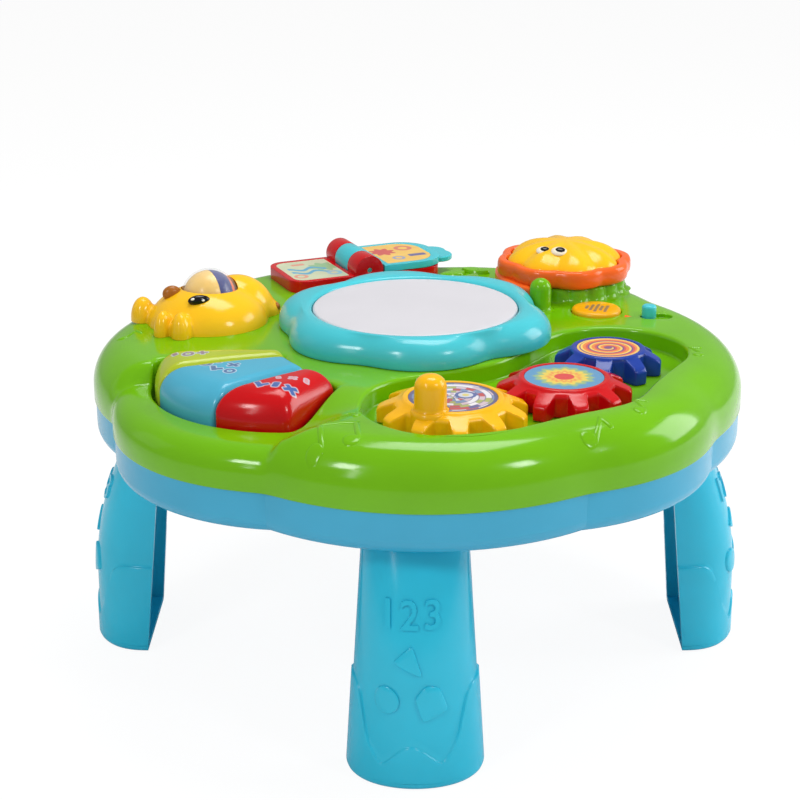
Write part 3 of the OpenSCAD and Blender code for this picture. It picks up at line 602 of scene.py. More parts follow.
def sunburst(paint):
    """A red disc with yellow, green and blue rays that fade outwards."""
    x, y, _ = paint.split(paint.place((*RED_AT, 0), 0))
    far, way = ring_marks(x, y)
    wave = (way * 16).sine() * 0.9 + (way * 7 + 1.3).sine() * 0.5
    reach = far + wave
    colour = paint.mix((reach - 14.2).inside(0.9), linear(82, 150, 196), linear(150, 186, 128))
    colour = paint.mix((reach - 11.4).inside(0.6), colour, linear(236, 206, 72))
    colour = paint.mix((reach - 8.2).inside(0.5), colour, linear(240, 152, 62))
    colour = paint.mix((reach - 6.4).inside(0.3), colour, linear(244, 206, 76))
    return paint.mix((far - 5.0).inside(0.3), colour, linear(222, 52, 48))


def spiral(paint):
    """A double spiral of orange, yellow and violet."""
    x, y, _ = paint.split(paint.place((*BLUE_AT, 0), 0))
    far, way = ring_marks(x, y)
    turn = (far / 4.6 + way / (2 * math.pi)) % 1.0
    tones = blocks(paint, [
        (0.0, linear(240, 132, 44)), (0.34, linear(250, 214, 92)), (0.58, linear(122, 66, 128)),
        (0.78, linear(214, 66, 70))], turn)
    colour = paint.mix((far - 2.2).inside(0.2), tones, linear(122, 66, 128))
    return paint.mix((far - 14.9).inside(0.2), linear(252, 206, 96), colour)


# ---- green top ----

# Directions from the keys' apex between which the rim is low
NOTCHES = -116.9, -170.1
# Degrees over which it rises at the edge, and how much that widens for each millimetre inwards, right and left
NOTCH_SOFT, WIDER_RIGHT, WIDER_LEFT = 3, 0.36, 0.1
# Distance from the apex at which the deck is all down, and over which it falls
LOW_FROM, LOW_OVER = 94, 38
SLOT_LENGTH = 8


def smooth(share):
    share = np.clip(share, 0, 1)
    return share * share * (3 - 2 * share)


def fan(first, last, margin, soft):
    """Sector of the key fan between two directions, its sides moved in by a margin."""
    return common([lambda x, y: side(*KEY_APEX, first)(x, y) + margin,
                   lambda x, y: outside(side(*KEY_APEX, last))(x, y) + margin,
                   lambda x, y: disc(*FAN_FRONT_AT, FAN_FRONT_R)(x, y) + margin,
                   lambda x, y: FAN_BACK + margin - np.hypot(x - KEY_APEX[0], y - KEY_APEX[1])], soft)


def slot_form(x, y):
    """Round-ended slot of the switch."""
    along = np.clip(x - KNOB_AT[0], 0, SLOT_LENGTH)
    return np.hypot(x - KNOB_AT[0] - along, y - KNOB_AT[1]) - 4.8


table_form = merged([disc(*polar(out, turn), TABLE_REACH - out) for turn, out in LOBES], 1.3)
# The pocket goes round the yellow, the red and the blue gear
gear_pocket = merged([tapered((*YELLOW_AT, 44), (72, -73, 40)), tapered((72, -73, 40), (103, -20, 38))], 3.0)
key_pocket = fan(KEY_TURNS[0], KEY_TURNS[-1], -1.4, 1.6)
mode_hole = disc(*MODE_AT, 13.9)
ball_hole = disc(BALL_AT[0], BALL_AT[1], 12)


def lowness(x, y, inset):
    """1 over the key lobe, 0 elsewhere; the change is wider further in."""
    turn = np.degrees(np.arctan2(y - KEY_APEX[1], x - KEY_APEX[0]))
    right = (NOTCHES[0] + NOTCH_SOFT + inset * WIDER_RIGHT - turn) / (NOTCH_SOFT + inset * WIDER_RIGHT)
    left = (turn - NOTCHES[1] + NOTCH_SOFT + inset * WIDER_LEFT) / (NOTCH_SOFT + inset * WIDER_LEFT)
    return smooth(right) * smooth(left)


def deck_height(x, y):
    """The deck is flat, and falls towards the rim in front of the keys."""
    inset = np.maximum(-table_form(x, y), 0)
    far = np.hypot(x - KEY_APEX[0], y - KEY_APEX[1])
    drop = 1 - smooth((LOW_FROM - far) / LOW_OVER)
    return DECK - (RIM_HEIGHT - LOW_HEIGHT) * lowness(x, y, np.minimum(inset, 60)) * drop


def rim_rings(steps):
    """Rings from the seam up the wall and over the rounded rim to the deck."""
    edge_x, edge_y = outline(table_form, (0, 0), 0, steps)
    low = lowness(edge_x, edge_y, 0.0)
    edge = RIM + (LOW_RIM - RIM) * low
    height = RIM_HEIGHT + (LOW_HEIGHT - RIM_HEIGHT) * low
    rings = rings_at(table_form, (0, 0), ((-1.0, SEAM), (-0.3, SEAM + 0.1), (0, SEAM + 0.8)), steps)
    for angle in np.linspace(0, 90, 15):
        inset = edge * (1 - math.cos(math.radians(angle)))
        top = SEAM + height - edge * (1 - math.sin(math.radians(angle)))
        x, y = outline(table_form, (0, 0), -inset, steps)
        share = math.sin(math.radians(angle)) ** 6
        rings.append(np.stack([x, y, top + (deck_height(x, y) - (SEAM + height)) * share], axis=1))
    return rings


class Casting:
    """A thin-walled skin that is put together from strips between rings and filled sheets."""

    def __init__(self):
        self.mesh = bmesh.new()

    def ring(self, points):
        return [self.mesh.verts.new(p) for p in points]

    def strip(self, rings):
        rows = [self.ring(r) for r in rings]
        for low, high in zip(rows, rows[1:]):
            for i in range(len(low)):
                j = (i + 1) % len(low)
                self.mesh.faces.new((low[i], low[j], high[j], high[i]))

    def lipped(self, form, centre, floor, lip, foot, height, steps, spacing=4.0, openings=()):
        """Pocket or hole: a rounded lip, a wall, and a floor with a fillet unless it goes through.

        Openings are holes in the floor. The lip's outer ring is given back, for the deck to start from.
        """
        rings = []
        for out, down in reversed(quarter(lip, 6)):
            x, y = outline(form, centre, out, steps)
            rings.append(np.stack([x, y, height(x, y) - down], axis=1))
        if floor is None:
            x, y = outline(form, centre, 0, steps)
            rings.append(np.stack([x, y, height(x, y) - 4.0], axis=1))
            self.strip(rings)
            return rings[0]
        for inward, up in quarter(foot, 6):
            rings.append(ring_at(form, centre, -inward, floor + up, steps))
        self.strip(rings)
        self.sheet(rings[-1], openings, lambda x, y: np.full(np.shape(x), float(floor)), spacing)
        return rings[0]

    def sheet(self, border, holes, height, spacing):
        """Fills the space inside a border and outside the holes, at a height."""
        loops = [border] + list(holes)
        points, edges = [], []
        for loop in loops:
            first = len(points)
            points += [Vector((p[0], p[1])) for p in loop]
            edges += [(first + i, first + (i + 1) % len(loop)) for i in range(len(loop))]
        low, high = np.min(border, axis=0), np.max(border, axis=0)
        grid_x, grid_y = np.meshgrid(np.arange(low[0], high[0], spacing),
                                     np.arange(low[1], high[1], spacing * 0.87))
        grid_x = grid_x + (np.arange(grid_x.shape[0]) % 2)[:, None] * spacing / 2
        grid_x, grid_y = grid_x.ravel(), grid_y.ravel()
        nearest = np.full(grid_x.shape, 1e9)
        for loop in loops:
            for start in range(0, len(loop), 60):
                part = loop[start:start + 60]
                gap = np.hypot(grid_x[:, None] - part[None, :, 0], grid_y[:, None] - part[None, :, 1])
                nearest = np.minimum(nearest, gap.min(axis=1))
        points += [Vector((x, y)) for x, y, gap in zip(grid_x, grid_y, nearest) if gap > spacing * 0.5]
        out, _, faces, origins, _, _ = delaunay_2d_cdt(points, edges, [], 0, 1e-5)
        place = np.array([(v.x, v.y) for v in out])
        middle = np.array([place[list(f)].mean(axis=0) for f in faces])
        keep = inside_loop(middle, border)
        for loop in holes:
            keep &= ~inside_loop(middle, loop)
        heights = np.array(height(place[:, 0], place[:, 1]), dtype=float)
        of_loops = np.concatenate([loop[:, 2] for loop in loops])
        for i, source in enumerate(origins):
            if source and source[0] < len(of_loops):
                heights[i] = of_loops[source[0]]
        verts = [self.mesh.verts.new((p[0], p[1], z)) for p, z in zip(place, heights)]
        for face, kept in zip(faces, keep):
            if kept:
                self.mesh.faces.new([verts[i] for i in face])

    def done(self, name, thickness):
        """Welds the strips and sheets, turns the faces outwards and gives the skin its thickness."""
        bmesh.ops.remove_doubles(self.mesh, verts=self.mesh.verts, dist=0.004)
        loose = [v for v in self.mesh.verts if not v.link_faces]
        bmesh.ops.delete(self.mesh, geom=loose, context="VERTS")
        bmesh.ops.recalc_face_normals(self.mesh, faces=self.mesh.faces)
        highest = max(self.mesh.faces, key=lambda f: f.calc_center_median().z)
        if highest.normal.z < 0:
            bmesh.ops.reverse_faces(self.mesh, faces=self.mesh.faces)
        data = bpy.data.meshes.new(name)
        self.mesh.to_mesh(data)
        self.mesh.free()
        piece = bpy.data.objects.new(name, data)
        bpy.context.scene.collection.objects.link(piece)
        modify(piece, "SOLIDIFY", thickness=thickness, offset=-1)
        return piece


def inside_loop(points, loop):
    """Which points lie inside a closed loop, by counting crossings."""
    x, y = points[:, 0], points[:, 1]
    inside = np.zeros(len(points), dtype=bool)
    ends = np.roll(loop, -1, axis=0)
    for (ax, ay), (bx, by) in zip(loop[:, :2], ends[:, :2]):
        crosses = (ay > y) != (by > y)
        if ay != by:
            inside ^= crosses & (x < (bx - ax) * (y - ay) / (by - ay) + ax)
    return inside


# ---- low figures on the green top ----

def figure(ground, form, centre, tall):
    """A form that stands proud of the ground, with a rounded edge; its foot is sunk in."""
    def laid(x, y, lift):
        down = Vector((0, 0, -1))
        heights = [ground.ray_cast(Vector((px, py, 300)), down)[1].z for px, py in zip(x, y)]
        return np.stack([x, y, np.array(heights) + lift], axis=1)

    rings = [laid(*outline(form, centre, grow, 72), tall * share)
             for grow, share in ((0.7, -0.8), (0.35, 0.15), (0, 0.6), (-0.45, 0.92))]
    edge = rings[-1]
    rings += [laid(*drawn_in(edge, centre, share), tall) for share in (0.6, 0.25)]
    return skin("figure", rings)


def figures(ground, place, turn, size, discs, rods, tall=0.6):
    """Discs and round-ended rods, drawn from a place along turned axes."""
    cosine, sine = polar(size, turn)

    def at(across, up):
        return place[0] + across * cosine - up * sine, place[1] + across * sine + up * cosine

    pieces = [figure(ground, disc(*at(*centre), radius * size), at(*centre), tall)
              for centre, radius in discs]
    for start, end, radius in rods:
        middle = at((start[0] + end[0]) / 2, (start[1] + end[1]) / 2)
        rod = tapered((*at(*start), radius * size), (*at(*end), radius * size))
        pieces.append(figure(ground, rod, middle, tall))
    return pieces


# Place, turn and size of each single note, and place and turn of each leaf
SINGLE_NOTES = [((84, -134), -14, 1.15), ((107, -108), 16, 0.95), ((146, -24), 24, 0.9),
                ((-152, 6), -20, 0.9), ((-30, -118), 62, 0.72)]
LEAVES = [((22, 124), 30), ((36, 132), -24), ((33, 114), 70)]


def raised_figures(ground):
    """Notes along the rim and three leaves beside the book."""
    pieces = figures(ground, (-36, -144), 5, 1.15, [((-9, -8), 3.2), ((5.6, -7), 3.2)],
                     [((-6.2, -8), (-6.2, 9), 0.9), ((8.4, -7), (8.4, 10), 0.9), ((-6.2, 9), (8.4, 10), 1.4)])
    for place, turn, size in SINGLE_NOTES:
        pieces += figures(ground, place, turn, size, [((-2.6, -5), 3.0)],
                          [((0.1, -5), (0.1, 8), 0.8), ((0.1, 8), (4.6, 5), 1.0)])
    for (x, y), turn in LEAVES:
        lens = common([disc(*around((x, y), 7, turn + way), 11.5) for way in (90, -90)], 0.4)
        pieces.append(figure(ground, lens, (x, y), 2.2))
    return pieces


def top_skin(material):
    """The green top: rim, deck and pockets, with the gear posts, the flower's riser and the nub."""
    casting = Casting()
    rings = rim_rings(720)
    casting.strip(rings)
    holes = [casting.lipped(gear_pocket, (66, -72), GEAR_FLOOR, 2.2, 1.5, deck_height, 420),
             casting.lipped(key_pocket, (-84, -76), KEY_FLOOR, 2.2, 1.5, deck_height, 360,
                            openings=[circle_ring(stem, 4.8, KEY_FLOOR, 32) for stem in KEY_STEMS]),
             casting.lipped(mode_hole, MODE_AT, None, 0.7, 0, deck_height, 96),
             casting.lipped(slot_form, (KNOB_AT[0] + SLOT_LENGTH / 2, KNOB_AT[1]), DECK - 2.2, 0.6, 0.5,
                            deck_height, 64, spacing=2.0),
             casting.lipped(ball_hole, BALL_AT[:2], None, 0.5, 0, deck_height, 64)]
    casting.sheet(rings[-1], holes, deck_height, 5.0)
    skin_piece = casting.done("top_skin", 2.0)
    posts = [turned("post", at, [(4, GEAR_FLOOR - 0.2), (4, 167.2), (3.7, 167.5), (1.6, 167.5)], 32)
             for at in (YELLOW_AT, RED_AT, BLUE_AT)]
    flutes = [disc(*around(FLOWER_AT, 28, a), 7.4) for a in range(0, 360, 20)]
    riser = skin("riser", rings_at(merged(flutes + [disc(*FLOWER_AT, 32)], 0.5), FLOWER_AT, (
        (-3, 165.8), (3.6, 167.9), (3.2, 168.05), (1.8, 168.5), (0.8, 169.4), (0.2, 170.8), (0, 172.6),
        (-0.2, 175.4), (-0.6, 176.2), (-1.2, FLOWER_FOOT)), 480))
    nub = turned("nub", NUB_AT, [(8.4, 167.6), (8.0, 168.05), (7.0, 168.5), (6.3, 169.4), (6.0, 171)]
                 + [(6.0 - inset, 186.0 - down) for inset, down in quarter(5.9, 9, 0, 86)], 64)
    piece = join("top_skin", [skin_piece, riser, nub] + posts + raised_figures(skin_piece))
    return settle(piece, material, "table", ["top_shell"], "green_plastic", 38)


# ---- legs ----

LEG_H = 117
LEG_STEPS = 96
LEG_WALL = 2.6
# Where the foot's band starts, and the height inside the leg that its upper edge goes with
BAND_FOOT, BAND_INSIDE = 3.0, 40
# Upper edge of the band: share of the half width, height
WAVE = [(-1, 48), (-0.93, 48), (-0.86, 44), (-0.72, 22), (-0.5, 11), (-0.2, 21), (-0.04, 22.8), (0.12, 20),
        (0.4, 12), (0.64, 24), (0.79, 44), (0.9, 48), (1, 48)]


def leg_measures(z):
    """Half width, inner and outer reach of a leg at a height."""
    share = np.clip(z / LEG_H, 0, 1)
    lean = (np.maximum(0, z - 35) / (LEG_H - 35)) ** 2
    return (32.5 + (25.2 - 32.5) * share, 145 + (134.6 - 145) * share,
            175 + (153 - 175) * np.clip(lean, 0, 1))


def leg_ring(z, inset, proud=0.0):
    """Points round a leg's outside, from one open edge to the other."""
    angle = np.linspace(0, math.pi, LEG_STEPS + 1)
    half, near, far = leg_measures(z)
    half, far = half - inset + proud, far - inset + proud
    reach = near + (far - near) * np.sin(angle) ** 0.85
    return np.stack([half * np.cos(angle), -reach, np.broadcast_to(z, angle.shape).astype(float)], axis=1)


def channel_ring(z_out, proud, z_in):
    """Outside there, inside back."""
    out, back = leg_ring(z_out, 0, proud), leg_ring(z_in, LEG_WALL)[::-1]
    return np.concatenate([out, back])


def wave_heights():
    """The band's upper edge at each step round the leg, smoothed."""
    share = np.cos(np.linspace(0, math.pi, LEG_STEPS + 1))
    places, heights = zip(*WAVE)
    fine = np.interp(share, places, heights)
    for _ in range(3):
        fine = np.concatenate([fine[:1], (fine[:-2] + 2 * fine[1:-1] + fine[2:]) / 4, fine[-1:]])
    return fine


def on_leg(x, z, proud):
    """The reach of a leg's front face, grown a little, at a place across and a height."""
    half, near, far = leg_measures(z)
    share = np.clip(x / (half + 0.01), -1, 1)
    return near + (far - near) * (1 - share * share) ** 0.425 + proud


def laid_on_leg(piece, proud=1.3):
    """Bends a flat plate drawn in x and z round the leg's front; its back sinks in."""
    for vertex in piece.data.vertices:
        x, front, z = vertex.co
        reach = on_leg(x, z, proud if front > 0.5 else (proud - 0.35 if front > 0.1 else -1.2))
        vertex.co = (x, -reach, z)
    return piece


def plate(name, points, rounding=0.5):
    """Raised plate with a rounded edge: drawn in x and z, front at 1, its shoulder at 0.3, back at 0."""
    middle = np.mean(points, axis=0)

    def level(shrink, front):
        away = points - middle
        size = np.linalg.norm(away, axis=1, keepdims=True)
        inner = middle + away * (1 - shrink / size)
        return np.stack([inner[:, 0], np.full(len(points), front), inner[:, 1]], axis=1)

    rings = [level(-0.1, 0.0), level(0, 0.3), level(rounding, 1.0)]
    for share in (0.6, 0.25):
        x, z = drawn_in(rings[2][:, ::2], middle, share)
        rings.append(np.stack([x, np.ones(len(points)), z], axis=1))
    return laid_on_leg(skin(name, rings))


def polygon_plate(name, corners):
    """Plate with straight sides and rounded corners."""
    corners = np.array(corners, dtype=float)
    middle = corners.mean(axis=0)
    sides = []
    for a, b in zip(corners, np.roll(corners, -1, axis=0)):
        way = (b - a) / np.linalg.norm(b - a)
        out = np.array([way[1], -way[0]])
        if np.dot(middle - a, out) > 0:
            out = -out
        sides.append(lambda x, y, a=a, out=out: (x - a[0]) * out[0] + (y - a[1]) * out[1])
    return plate(name, np.stack(outline(common(sides, 0.8), middle, 0, 120), axis=1))


DIGIT_TALL = 13.4
DIGIT_FOOT = 80
# Type size for each millimetre of a digit's height
TYPE_SIZE = 1.38


def digit(text, across):
    """A raised digit on the leg's front."""
    deselect()
    bpy.ops.object.text_add()
    piece = bpy.context.object
    piece.data.body = text
    piece.data.size = DIGIT_TALL * TYPE_SIZE
    piece.data.align_x = "CENTER"
    piece.data.extrude = 0.5
    piece.data.offset = 0.25
    piece.data.resolution_u = 6
    bpy.ops.object.convert(target="MESH")
    piece = bpy.context.object
    piece.data.transform(Matrix.Translation((across, DIGIT_FOOT, 0)))
    select(piece)
    modify(piece, "REMESH", mode="VOXEL", voxel_size=0.35)
    for vertex in piece.data.vertices:
        x, z, front = vertex.co
        vertex.co = (x, 1.0 if front > 0.2 else 0.0, z)
    return laid_on_leg(piece, 1.1)


def front_leg():
    """A channel with a raised foot band, a sole, three digits and three flat figures."""
    edge = wave_heights() - 0.6
    rings = [channel_ring(BAND_FOOT, 1.0, BAND_FOOT)]
    for share in np.linspace(0, 1, 10)[1:]:
        rings.append(channel_ring(BAND_FOOT + (edge - BAND_FOOT) * share, 1.0,
                                  BAND_FOOT + (BAND_INSIDE - BAND_FOOT) * share))
    rings += [channel_ring(edge + up, proud, BAND_INSIDE + up)
              for up, proud in ((0.25, 0.93), (0.55, 0.72), (0.8, 0.4), (1.0, 0.12), (1.3, 0.0))]
    top, inside = edge + 1.3, BAND_INSIDE + 1.3
    rings += [channel_ring(top + (LEG_H - top) * share, 0.0, inside + (LEG_H - inside) * share)
              for share in np.linspace(0, 1, 26)[1:]]
    # The plug that goes up into the tray
    rings += [channel_ring(LEG_H, -2.5, LEG_H + 0.01), channel_ring(LEG_H + 10, -2.5, LEG_H + 10)]
    channel = skin("channel", rings)
    sole = skin("sole", [leg_ring(z, inset)
                         for z, inset in ((0.0, 0.6), (0.25, 0.1), (0.9, -0.5), (2.0, -1.0), (3.4, -1.0))])
    turns = np.arange(90) * 2 * math.pi / 90
    # Flatter on its left side than on its right
    oval_edge = np.stack([np.where(np.cos(turns) < 0, 4.6, 6.6) * np.cos(turns) - 14.2,
                          6.6 * np.sin(turns) + 45.6], axis=1)
    marks = [digit("1", -12.6), digit("2", -2.6), digit("3", 8.2),
             polygon_plate("triangle", [(-10.7, 64.2), (-1.5, 73), (3.6, 57.6)]),
             polygon_plate("five_sides", [(-0.4, 47.6), (5, 53.8), (11.4, 52.4), (15.4, 40.6), (3.8, 35.4)]),
             plate("oval", oval_edge)]
    return join("leg_skin", [channel, sole] + marks)


def legs(material):
    """Four legs alike, one towards each side."""
    first = front_leg()
    pieces = [first] + [duplicate(first) for _ in range(3)]
    for piece, turn, node in zip(pieces, (0, 90, 180, -90),
                                 ("leg_front", "leg_right", "leg_back", "leg_left")):
        piece.name = piece.data.name = node + "_skin"
        piece.data.transform(Matrix.Rotation(math.radians(turn), 4, "Z"))
        settle(piece, material, "table", [node], "leg_plastic", 35)


# ---- drum ----

def drum_ring(material):
    """A ring of six wide scallops with a soft crest, and two lugs at its edge."""
    form = merged([disc(*around(RING_AT, 36, a), 39) for a in (-138, -86, -23, 42, 103, 165)], 3.2)
    rings = rings_at(form, RING_AT, ((-1.6, DECK), (-0.5, DECK + 0.3), (0, DECK + 1.4)))
    for inset, down in quarter(12, 14, 8):
        kept = merged([lambda x, y, i=inset: form(x, y) + i, disc(*DRUM_AT, 61.5 - inset * 0.12)], 1.2)
        rings.append(ring_at(kept, RING_AT, 0, RING_TOP - down))
    crest, inner = rings[-1], circle_ring(DRUM_AT, 58.6, RING_TOP, 360)
    rings += [crest + (inner - crest) * share for share in (0.5, 1.0)]
    rings += circle_rings(DRUM_AT, ((57.2, 182.8), (56.1, 182.3), (55.4, 181.5), (55.1, 180.4), (55.1, 172),
                                    (55.1, DECK)), 360)
    piece = tube("drum_ring_skin", rings + rings[:1])
    lug = [(5.4, 167.9), (5.4, 173.4)] + [(5.4 - inset, 175.6 - down) for inset, down in quarter(2.2, 6, 5)]
    lugs = [turned("lug", at, lug, 48) for at in ((-9, 101.5), (-63, 43.5))]
    piece = join("drum_ring_skin", [piece] + lugs)
    return settle(piece, material, "table", ["drum_ring"], "turquoise_plastic")


def drum_skin(material):
    """The drum's disc: a flange below the ring and a top that is a little higher in the middle."""
    profile = [(52.3, 170.6), (57.3, 170.6), (57.5, 170.8), (57.5, 172.4), (57.3, 172.6), (54.7, 172.7)]
    profile += [(54.7 - inset, DRUM_TOP - down) for inset, down in quarter(1.4, 6)]
    profile += [(radius, DRUM_TOP + up) for radius, up in
                ((50, 0.06), (40, 0.2), (25, 0.36), (10, 0.45), (0.5, 0.47))]
    return settle(turned("drum_skin", DRUM_AT, profile, 192), material, "drum", ["drum_disc"], "drum_white")


# ---- gears ----

def gear_outline(teeth):
    """Distance of a gear's edge at each step round it."""
    steps = teeth * 44
    place = np.arange(steps) * teeth / steps
    away = np.abs(place - np.round(place)) * 2
    root, tip = PITCH * teeth - TOOTH_ROOT, PITCH * teeth + TOOTH_TIP
    crest = 1 - smooth((away - 0.27) / 0.36)
    return root + (tip - root) * crest - 0.35 * away ** 2


def gear(name, at, teeth, turn, material, body, node, slot_name, extra=()):
    """A gear whose upper side rises as a cone to the ring round its label; extra pieces are joined to it."""
    edge = gear_outline(teeth)
    tip = PITCH * teeth + TOOTH_TIP
    label_r = tip * 0.585
    rim = label_r + 2
    turns = np.arange(len(edge)) * 2 * math.pi / len(edge) + math.radians(turn)

    def level(radius, height):
        return np.stack([at[0] + radius * np.cos(turns), at[1] + radius * np.sin(turns),
                         GEAR_FOOT + np.broadcast_to(height, turns.shape)], axis=1)

    def cone(radius):
        return 7 + (tip + 1 - radius) / (tip - rim) * 5.2

    profile = [(7, 12.2), (7, 9.1), (4.1, 9.1), (4.1, 0), (edge - 0.8, 0), (edge - 0.2, 0.25), (edge, 0.9),
               (edge, cone(edge) - 1.6), (edge - 0.15, cone(edge) - 0.85), (edge - 0.55, cone(edge) - 0.25),
               (edge - 1.3, cone(edge - 1.3) - 0.02)]
    inner = rim + 1.4
    for share in (0.25, 0.5, 0.75, 1.0):
        radius = (edge - 1.3) + (inner - edge + 1.3) * share
        profile.append((radius, cone(radius)))
    profile += [(rim + 0.9, 12.72), (rim + 0.3, 12.95), (rim - 0.3, GEAR_HEIGHT),
                (label_r + 0.6, GEAR_HEIGHT), (label_r + 0.25, 12.88), (label_r + 0.15, 12.6),
                (label_r + 0.15, 12.2), (7, 12.2)]
    piece = tube(name, [level(radius, height) for radius, height in profile])
    return settle(join(name, [piece, *extra]), material, body, [node], slot_name, 42)


def gears(yellow, red, blue):
    """Three gears in mesh, with 11, 10 and 8 teeth, and the peg that turns them."""
    boss = turned("boss", CRANK_AT, [(9.6, 164), (9.6, 168.6), (9.3, 170.2), (8.6, 171), (7.9, 171.3),
                                     (2, 171.3)], 64)
    gear("yellow_wheel_skin", YELLOW_AT, 11, TO_RED + 180 / 11, yellow,
         "yellow_wheel", "yellow_gear", "yellow_plastic", [boss])
    gear("red_wheel_skin", RED_AT, 10, TO_RED + 180, red, "red_wheel", "red_gear", "red_plastic")
    blue_rest = TO_BLUE + 180 + 180 / 8 + (TO_BLUE - TO_RED - 180) * 10 / 8
    gear("blue_wheel_skin", BLUE_AT, 8, blue_rest, blue, "blue_wheel", "blue_gear", "dark_blue_plastic")
    profile = [(3, 166), (7.9, 171.0), (8.3, 171.32), (7.95, 171.9), (7.75, 173), (7.6, 182)]
    profile += [(7.6 - inset, 187.8 - down) for inset, down in quarter(5.8, 9, 4)] + [(0.9, 188.1)]
    grip = turned("crank_grip", CRANK_AT, profile, 64)
    settle(grip, yellow, "yellow_wheel", ["crank_peg"], "yellow_plastic")


# ---- keys ----

KEY_GAP = 0.4


def rounded(inwards, radius):
    """How far a round edge drops at a distance inwards from its wall."""
    inwards = np.clip(inwards, 0, radius)
    return radius - np.sqrt(np.maximum(radius ** 2 - (radius - inwards) ** 2, 0))


def key(name, place, material, body, node, slot_name):
    """A key of the fan. Its front and the fan's outer sides are wide and round, its other edges less so."""
    form = fan(KEY_TURNS[place], KEY_TURNS[place + 1], KEY_GAP, 1.0)
    centre = KEY_STEMS[place]
    first, last = side(*KEY_APEX, KEY_TURNS[0]), side(*KEY_APEX, KEY_TURNS[-1])

    def height(x, y, side_drop):
        front = rounded(FAN_FRONT_R - KEY_GAP - np.hypot(x - FAN_FRONT_AT[0], y - FAN_FRONT_AT[1]), 15)
        flank = rounded(np.minimum(-first(x, y), last(x, y)), 13)
        crown = 0.7 * smooth(1 - np.hypot(x - centre[0], y - centre[1]) / 40)
        return KEY_TOP - 0.4 - np.sqrt(front ** 2 + side_drop ** 2 + flank ** 2) + crown

    rings = rings_at(form, centre, ((-0.6, KEY_FOOT), (0, KEY_FOOT + 0.6), (0, 158)))
    for inset, down in quarter(5.5, 12, 6):
        x, y = outline(form, centre, -inset)
        rings.append(np.stack([x, y, np.maximum(height(x, y, down), 158.2 + inset * 0.2)], axis=1))
    last_ring = rings[-1]
    for share in (0.88, 0.76, 0.62, 0.48, 0.34, 0.2, 0.08):
        x, y = drawn_in(last_ring, centre, share)
        rings.append(np.stack([x, y, height(x, y, 0)], axis=1))
    stem = turned("stem", centre, [(3.4, 142.6), (4, 143.2), (4, 152)], 32)
    piece = join(name, [skin(name, rings), stem])
    return settle(piece, material, body, [node], slot_name, 45)


# ---- flower ----

PETALS, PETAL_TURN = 8, 10
BLOOM_EDGE = 185.6
BLOOM_DOME = 11.0
PETAL_SWELL = 7.0
# Place of an eye's middle, half its width and half its depth
EYES = [(73.0, 83.5, 4.3, 3.5), (81.5, 80.5, 4.6, 3.8)]


def bloom_top(share):
    """Height of the bloom at a share of its reach."""
    return BLOOM_EDGE + BLOOM_DOME * (1 - share ** 2.2) ** 0.7


def flower(orange, yellow, eye_white, eye_dark):
    """A petalled ring with a leaf beside it, and a petalled bloom with two eyes inside the ring."""
    form = merged([disc(*around(FLOWER_AT, 20, PETAL_TURN + i * 360 / PETALS), 19)
                   for i in range(PETALS)], 1.0)
    rings = rings_at(form, FLOWER_AT, (
        (-4.2, FLOWER_FOOT), (-2.6, 176.7), (-1.2, 177.5), (-0.3, 179), (0, 181), (-0.1, 184), (-0.5, 185.6),
        (-1.1, 186.5), (-2, 186.9), (-4.9, 186.6), (-5.4, 185.8), (-5.4, 178.1), (-26, 178.1),
        (-26, FLOWER_FOOT)))
    piece = tube("flower_ring_skin", rings + rings[:1])
    side_leaf = leaf("side_leaf", (56, 87), -73, 56, 15, DECK, 178)
    piece = join("flower_ring_skin", [piece, side_leaf])
    settle(piece, orange, "table", ["flower_ring"], "orange_plastic")

    edge_x, edge_y = outline(form, FLOWER_AT, -6.1)
    edge = np.hypot(edge_x - FLOWER_AT[0], edge_y - FLOWER_AT[1])
    turns = np.arange(len(edge)) * 2 * math.pi / len(edge)

    def level(share, height, lobed):
        radius = (edge * lobed + 31.5 * (1 - lobed)) * share
        swell = np.cos(PETALS * (turns - math.radians(PETAL_TURN))) * share ** 3 * (1 - share) * PETAL_SWELL
        return np.stack([FLOWER_AT[0] + radius * np.cos(turns), FLOWER_AT[1] + radius * np.sin(turns),
                         height + swell], axis=1)

    rings = circle_rings(FLOWER_AT, ((9.5, 182.8), (9.5, 180.4)), 360)
    rings += rings_at(form, FLOWER_AT, ((-8.6, 180.4), (-6.7, 180.7), (-6.1, 181.6)))
    rings += [level(1, BLOOM_EDGE, 1)]
    rings += [level(share, bloom_top(share), share ** 1.2)
              for share in (0.996, 0.985, 0.965, 0.93, 0.88, 0.81, 0.72, 0.61, 0.48, 0.34, 0.2, 0.07)]
    settle(skin("bloom", rings), yellow, "flower", ["flower_button"], "yellow_plastic")
    for i, (x, y, half_x, half_y) in enumerate(EYES):
        z = bloom_top(math.hypot(x - FLOWER_AT[0], y - FLOWER_AT[1]) / 32) - 0.2
        for part, at, size, paint in (
                ("eye", (x, y, z), (half_x, half_y, 1.5), eye_white),
                ("pupil", (x + 0.6, y - 0.4, z + 0.9), (half_x * 0.62, half_y * 0.6, 1.1), eye_dark)):
            piece = oval("flower_%s_%d" % (part, i + 1), at, size, tilt=24, segments=32, rings=20)
            settle(piece, paint, "flower")


def leaf(name, at, turn, length, width, low, high):
    """A pointed leaf with a rounded upper edge."""
    radius = (length * length / 4 + width * width / 4) / width
    form = common([disc(0, radius - width / 2, radius), disc(0, width / 2 - radius, radius)], 0.5)
    profile = [(0, low), (0, high - 2.4)] + [(-inset, high - down) for inset, down in quarter(2.2, 7, 5)]
    return placed(skin(name, rings_at(form, (0, 0), profile, 120)), at, turn)


# ---- book ----

